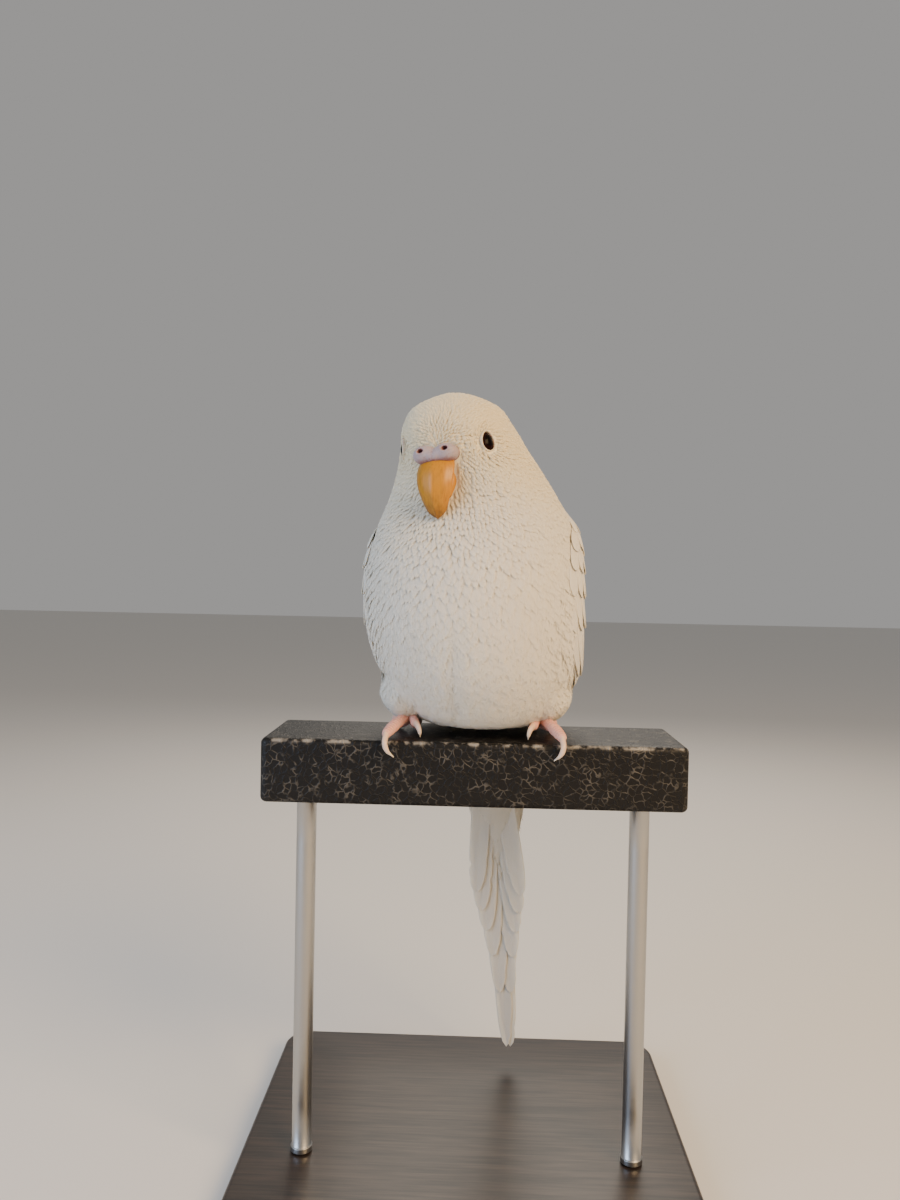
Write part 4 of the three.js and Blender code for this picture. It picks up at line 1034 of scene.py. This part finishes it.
class BUDGERIGAR_OT_skin(bpy.types.Operator):
    """Makes the skin that lies under the coat, in place of the head, neck, torso and thighs"""
    bl_idname = "budgerigar.skin"
    bl_label = "Skin"

    def execute(self, context):
        ab = chart(*grid(np.linspace(0.03, LAST - 0.1, 230), around(200)))
        p, n = flesh(ab), slopes(flesh, ab)[2]
        depth = coat_depth(coat_length(ab, p)) + 1.2 * (nearest_eye(p) < 0.9)
        points, faces = closed_rings(p - n * (depth + 0.03 + groove(p))[..., None])
        uv = np.vstack([ab.reshape(-1, 2), [[0, 0], [0, LAST]]]) / CHART_WIDTH + 0.5
        # The skin carries a quarter of the grey root colour as painted shade in the gaps between the feathers.
        add_mesh("plumage_skin", in_part(points), faces, plumage("plumage_skin_painted_shade", under=True), uv=uv,
                 nodes=("head", "neck", "torso", "thigh_left", "thigh_right"))
        return {"FINISHED"}


class BUDGERIGAR_OT_coat(bpy.types.Operator):
    """Makes the coat of small feathers over the skin, in pieces from the crown to the tail coverts"""
    bl_idname = "budgerigar.coat"
    bl_label = "Coat"

    def execute(self, context):
        look = context.scene.budgerigar_plumage
        generator = np.random.default_rng(look.seed)
        material = plumage("plumage_contour_feathers")
        ab = scattered()
        p = flesh(ab)
        s = np.hypot(ab[:, 0], ab[:, 1])
        length = coat_length(ab, p) * generator.uniform(0.88, 1.12, len(ab))
        top = look.stand / MM + generator.normal(0, 0.04, len(ab)) + flank(ab)
        half = length * look.width * generator.uniform(0.92, 1.12, len(ab))
        behind = np.sin(np.arctan2(ab[:, 1], ab[:, 0])) > 0
        for name, low, high, way in COAT_PIECES:
            chosen = (s >= low) & (s < high) & ((way == 0) | (behind == (way > 0)))
            points, uv, along = tufts(ab[chosen], length[chosen], half[chosen], top[chosen], generator)
            faces = (TUFT_FACES[None] + (len(TUFT) * np.arange(len(points)))[:, None, None]).reshape(-1, 3)
            if len(faces) >= MOST_FACES:
                raise RuntimeError(f"{name} has {len(faces)} faces")
            add_mesh(name, in_part(points.reshape(-1, 3)), [faces], material, {"along": along},
                     uv.reshape(-1, 2), smooth_faces=False)
        return {"FINISHED"}


class BUDGERIGAR_OT_wings(bpy.types.Operator):
    """Makes the folded wings, from the shoulder's coverts to the primaries, in place of the wing solids"""
    bl_idname = "budgerigar.wings"
    bl_label = "Wings"

    def execute(self, context):
        material = plumage("plumage_wing_feathers", vane=True)
        generator = np.random.default_rng(context.scene.budgerigar_plumage.seed + 1)
        for side, name in SIDES:
            def place(u, share, across, rise):
                edge = np.clip(share + across, -0.02, 1.03)
                front = 0.75 * (1 - fade(0.0, 0.16, edge)) * (1 - fade(0.55, 0.8, u))
                back = 0.9 * fade(0.86, 1.0, edge) * (1 - fade(0.6, 0.8, u))
                return wing_place(side, u, edge, rise + 0.7 * u * u - (front + back))

            shapes = []
            for count, roots, tips, rises, square, wider in WING_ROWS:
                v = (np.arange(count) + 0.5) / count
                root = np.stack([roots[0] + (roots[1] - roots[0]) * v, 0.06 + 0.88 * v], -1)
                tip = np.stack([tips[0] + (tips[1] - tips[0]) * v, 0.03 + 0.94 * v], -1)
                tip[:, 0] += generator.normal(0, 0.004, count)
                wide = np.full(count, 0.62 * wider / count)
                shapes.append(vanes(place, root, tip, (*rises, VANE_TILT), wide, square, generator))
            add_vanes("wing_" + name, shapes, material)
        return {"FINISHED"}


class BUDGERIGAR_OT_tail(bpy.types.Operator):
    """Makes the twelve tail feathers, the middle pair longest, in place of the tail's solid"""
    bl_idname = "budgerigar.tail"
    bl_label = "Tail"

    def execute(self, context):
        material = plumage("plumage_tail_feathers", vane=True)
        generator = np.random.default_rng(context.scene.budgerigar_plumage.seed + 2)

        def place(drop, middle, across, rise):
            return tail_place(drop, middle + across, rise)

        shapes = []
        for k, (tip, aside, half) in enumerate(RECTRICES):
            for side in (-1, 1):
                layer = TAIL_LAYER * (1.6 - k + (0.5 if side > 0 else 0.0))
                root, end = [[RECTRICES_START, side * 0.3 * k]], [[tip, side * aside]]
                shapes.append(vanes(place, root, end, (layer, layer, 0.0), [half], 9.0, generator, 0.2))
        add_vanes("tail", shapes, material)
        return {"FINISHED"}


class BUDGERIGAR_OT_face(bpy.types.Operator):
    """Makes the eyes with their lids, the cere with its nostrils and the two halves of the bill"""
    bl_idname = "budgerigar.face"
    bl_label = "Face"

    def execute(self, context):
        look = context.scene.budgerigar_face
        wet, rim = eye_glass(), bare_skin("lid_bare_skin", look.lid, look.blush, 3000.0, 0.55)
        for side, name in SIDES:
            points, faces, share = eyeball(side)
            add_mesh("eyeball_" + name, in_part(points), faces, wet, {"across": share}, nodes=("eye_" + name,))
            points, faces, share = lid(side)
            add_mesh("lids_" + name, in_part(points), faces, rim, {"along": share})
        points, faces, share = cere_shape()
        waxy = bare_skin("cere_bare_skin", look.cere, look.blush, 2600.0, 0.5)
        add_mesh("cere_skin", in_part(points), faces, waxy, {"along": share}, nodes=("cere",))
        keratin = horn("bill_grown_horn", look.bill, look.bill_tip, 0.42, 2200.0)
        for name, rows, ridge in (("bill_upper", UPPER_BILL, 0.25), ("bill_lower", LOWER_BILL, 0.0)):
            points, faces, share = bill_shape(rows, ridge)
            add_mesh(name + "_horn", in_part(points), faces, keratin, {"along": share}, nodes=(name,))
        return {"FINISHED"}


class BUDGERIGAR_OT_feet(bpy.types.Operator):
    """Makes the scaled legs and toes and their claws"""
    bl_idname = "budgerigar.feet"
    bl_label = "Feet"

    def execute(self, context):
        look = context.scene.budgerigar_feet
        scaled = bare_skin("leg_scaled_skin", look.skin, look.crease, 2200.0, 0.55)
        nail = horn("claw_grown_horn", look.claw, look.claw_tip, 0.4, 3000.0)
        for side, name in SIDES:
            tubes = [tube(foot_path(side, SHANK[0]), SHANK[1], 60, 28, 1.0)]
            tubes += [tube(foot_path(side, path), radii, 90, 28, 1.0) for path, radii, _ in TOES.values()]
            points, faces = joined([t[:2] for t in tubes])
            add_mesh("foot_" + name, points * MM, faces, scaled,
                     {"along": np.concatenate([t[2] for t in tubes])}, nodes=("leg_" + name,))
            for toe, (_, _, claw) in TOES.items():
                points, faces, share = tube(foot_path(side, claw), CLAW_RADII, 48, 24, flat=CLAW_FLAT)
                add_mesh(f"nail_{name}_{toe}", points * MM, faces, nail, {"along": share},
                         nodes=(f"claw_{name}_{toe}",))
        return {"FINISHED"}


class BUDGERIGAR_OT_stand(bpy.types.Operator):
    """Makes the rail, its two rods and the base"""
    bl_idname = "budgerigar.stand"
    bl_label = "Stand"

    def execute(self, context):
        edge = context.scene.budgerigar_stand.edge / MM
        points, faces, share = board(RAIL_SIZE, RAIL_CORNER, edge)
        points = points + [0, RAIL_MIDDLE, AXIS[2] - RAIL_SIZE[2]]
        add_mesh("rail_bar", points * MM, faces, hammered_paint(), {"edge": share},
                 nodes=("stand_perch",))
        steel = brushed_steel()
        for side, name in SIDES:
            points, faces = rod_shape(side * ROD_SPREAD)
            add_mesh("rod_turned_" + name, points * MM, faces, steel, nodes=("stand_rod_" + name,))
        points, faces, _ = board(BASE_SIZE, BASE_CORNER, BASE_EDGE)
        add_mesh("base_board", points * MM, faces, stained_wood(), nodes=("stand_base",))
        return {"FINISHED"}


class BUDGERIGAR_OT_stage(bpy.types.Operator):
    """Makes the floor, the lights and the camera"""
    bl_idname = "budgerigar.stage"
    bl_label = "Stage"

    def execute(self, context):
        scene = context.scene
        mesh = bpy.data.meshes.new("floor")
        x, y = grid([-FLOOR_HALF, FLOOR_HALF], [-FLOOR_HALF, FLOOR_HALF])
        mesh.from_pydata(np.stack([x, y, 0 * x - FLOOR_DROP], -1).reshape(-1, 3).tolist(), [], [[0, 2, 3, 1]])
        mesh.materials.append(stage_paper())
        floor = bpy.data.objects.new("floor", mesh)
        scene.collection.objects.link(floor)

        world = bpy.data.worlds.new("studio")
        world.use_nodes = True
        background = world.node_tree.nodes["Background"]
        background.inputs[0].default_value = linear(WORLD_COLOUR)
        background.inputs[1].default_value = WORLD_STRENGTH
        scene.world = world
        for name, (place, size, power, code) in LIGHTS.items():
            lamp = bpy.data.lights.new(name, "AREA")
            lamp.size, lamp.energy, lamp.color = size, power, linear(code)[:3]
            light = bpy.data.objects.new(name, lamp)
            light.location = place
            light.rotation_euler = (Vector(place) - Vector(LIT_SPOT)).to_track_quat("Z", "Y").to_euler()
            scene.collection.objects.link(light)

        camera = bpy.data.objects.new("camera", bpy.data.cameras.new("camera"))
        camera.data.sensor_fit, camera.data.sensor_height, camera.data.lens = "VERTICAL", CAMERA_SENSOR, CAMERA_LENS
        camera.data.clip_start = CAMERA_NEAR
        camera.location = CAMERA_PLACE
        left, down, roll = np.radians(CAMERA_TURN)
        level = Matrix.Rotation(np.pi / 2 - down, 4, "X")
        camera.rotation_euler = (Matrix.Rotation(left, 4, "Z") @ level @ Matrix.Rotation(roll, 4, "Z")).to_euler()
        scene.collection.objects.link(camera)
        scene.camera = camera
        return {"FINISHED"}


class BUDGERIGAR_PT_panel(bpy.types.Panel):
    """Lists the parts of the model"""
    bl_label = "Budgerigar"
    bl_idname = "BUDGERIGAR_PT_panel"
    bl_space_type = "VIEW_3D"
    bl_region_type = "UI"
    bl_category = "Budgerigar"

    def draw(self, context):
        for name, group in GROUPS.items():
            box = self.layout.box()
            box.label(text=group.__doc__)
            for key in group.__annotations__:
                box.prop(getattr(context.scene, name), key)
        for operator in OPERATORS:
            self.layout.operator(operator.bl_idname)


GROUPS = {"budgerigar_plumage": BudgerigarPlumage, "budgerigar_face": BudgerigarFace,
          "budgerigar_feet": BudgerigarFeet, "budgerigar_stand": BudgerigarStand}
OPERATORS = (BUDGERIGAR_OT_stage, BUDGERIGAR_OT_stand, BUDGERIGAR_OT_skin, BUDGERIGAR_OT_coat, BUDGERIGAR_OT_wings,
             BUDGERIGAR_OT_tail, BUDGERIGAR_OT_face, BUDGERIGAR_OT_feet)


def register():
    """Registers the settings, the operators and the panel."""
    for name, group in GROUPS.items():
        bpy.utils.register_class(group)
        setattr(bpy.types.Scene, name, bpy.props.PointerProperty(type=group))
    for operator in OPERATORS:
        bpy.utils.register_class(operator)
    bpy.utils.register_class(BUDGERIGAR_PT_panel)


def unregister():
    """Takes them off again."""
    bpy.utils.unregister_class(BUDGERIGAR_PT_panel)
    for operator in reversed(OPERATORS):
        bpy.utils.unregister_class(operator)
    for name, group in reversed(list(GROUPS.items())):
        delattr(bpy.types.Scene, name)
        bpy.utils.unregister_class(group)


def main():
    """Makes every piece in order."""
    register()
    bpy.ops.budgerigar.stage()
    bpy.ops.budgerigar.stand()
    bpy.ops.budgerigar.skin()
    bpy.ops.budgerigar.coat()
    bpy.ops.budgerigar.wings()
    bpy.ops.budgerigar.tail()
    bpy.ops.budgerigar.face()
    bpy.ops.budgerigar.feet()


if __name__ == "__main__":
    main()
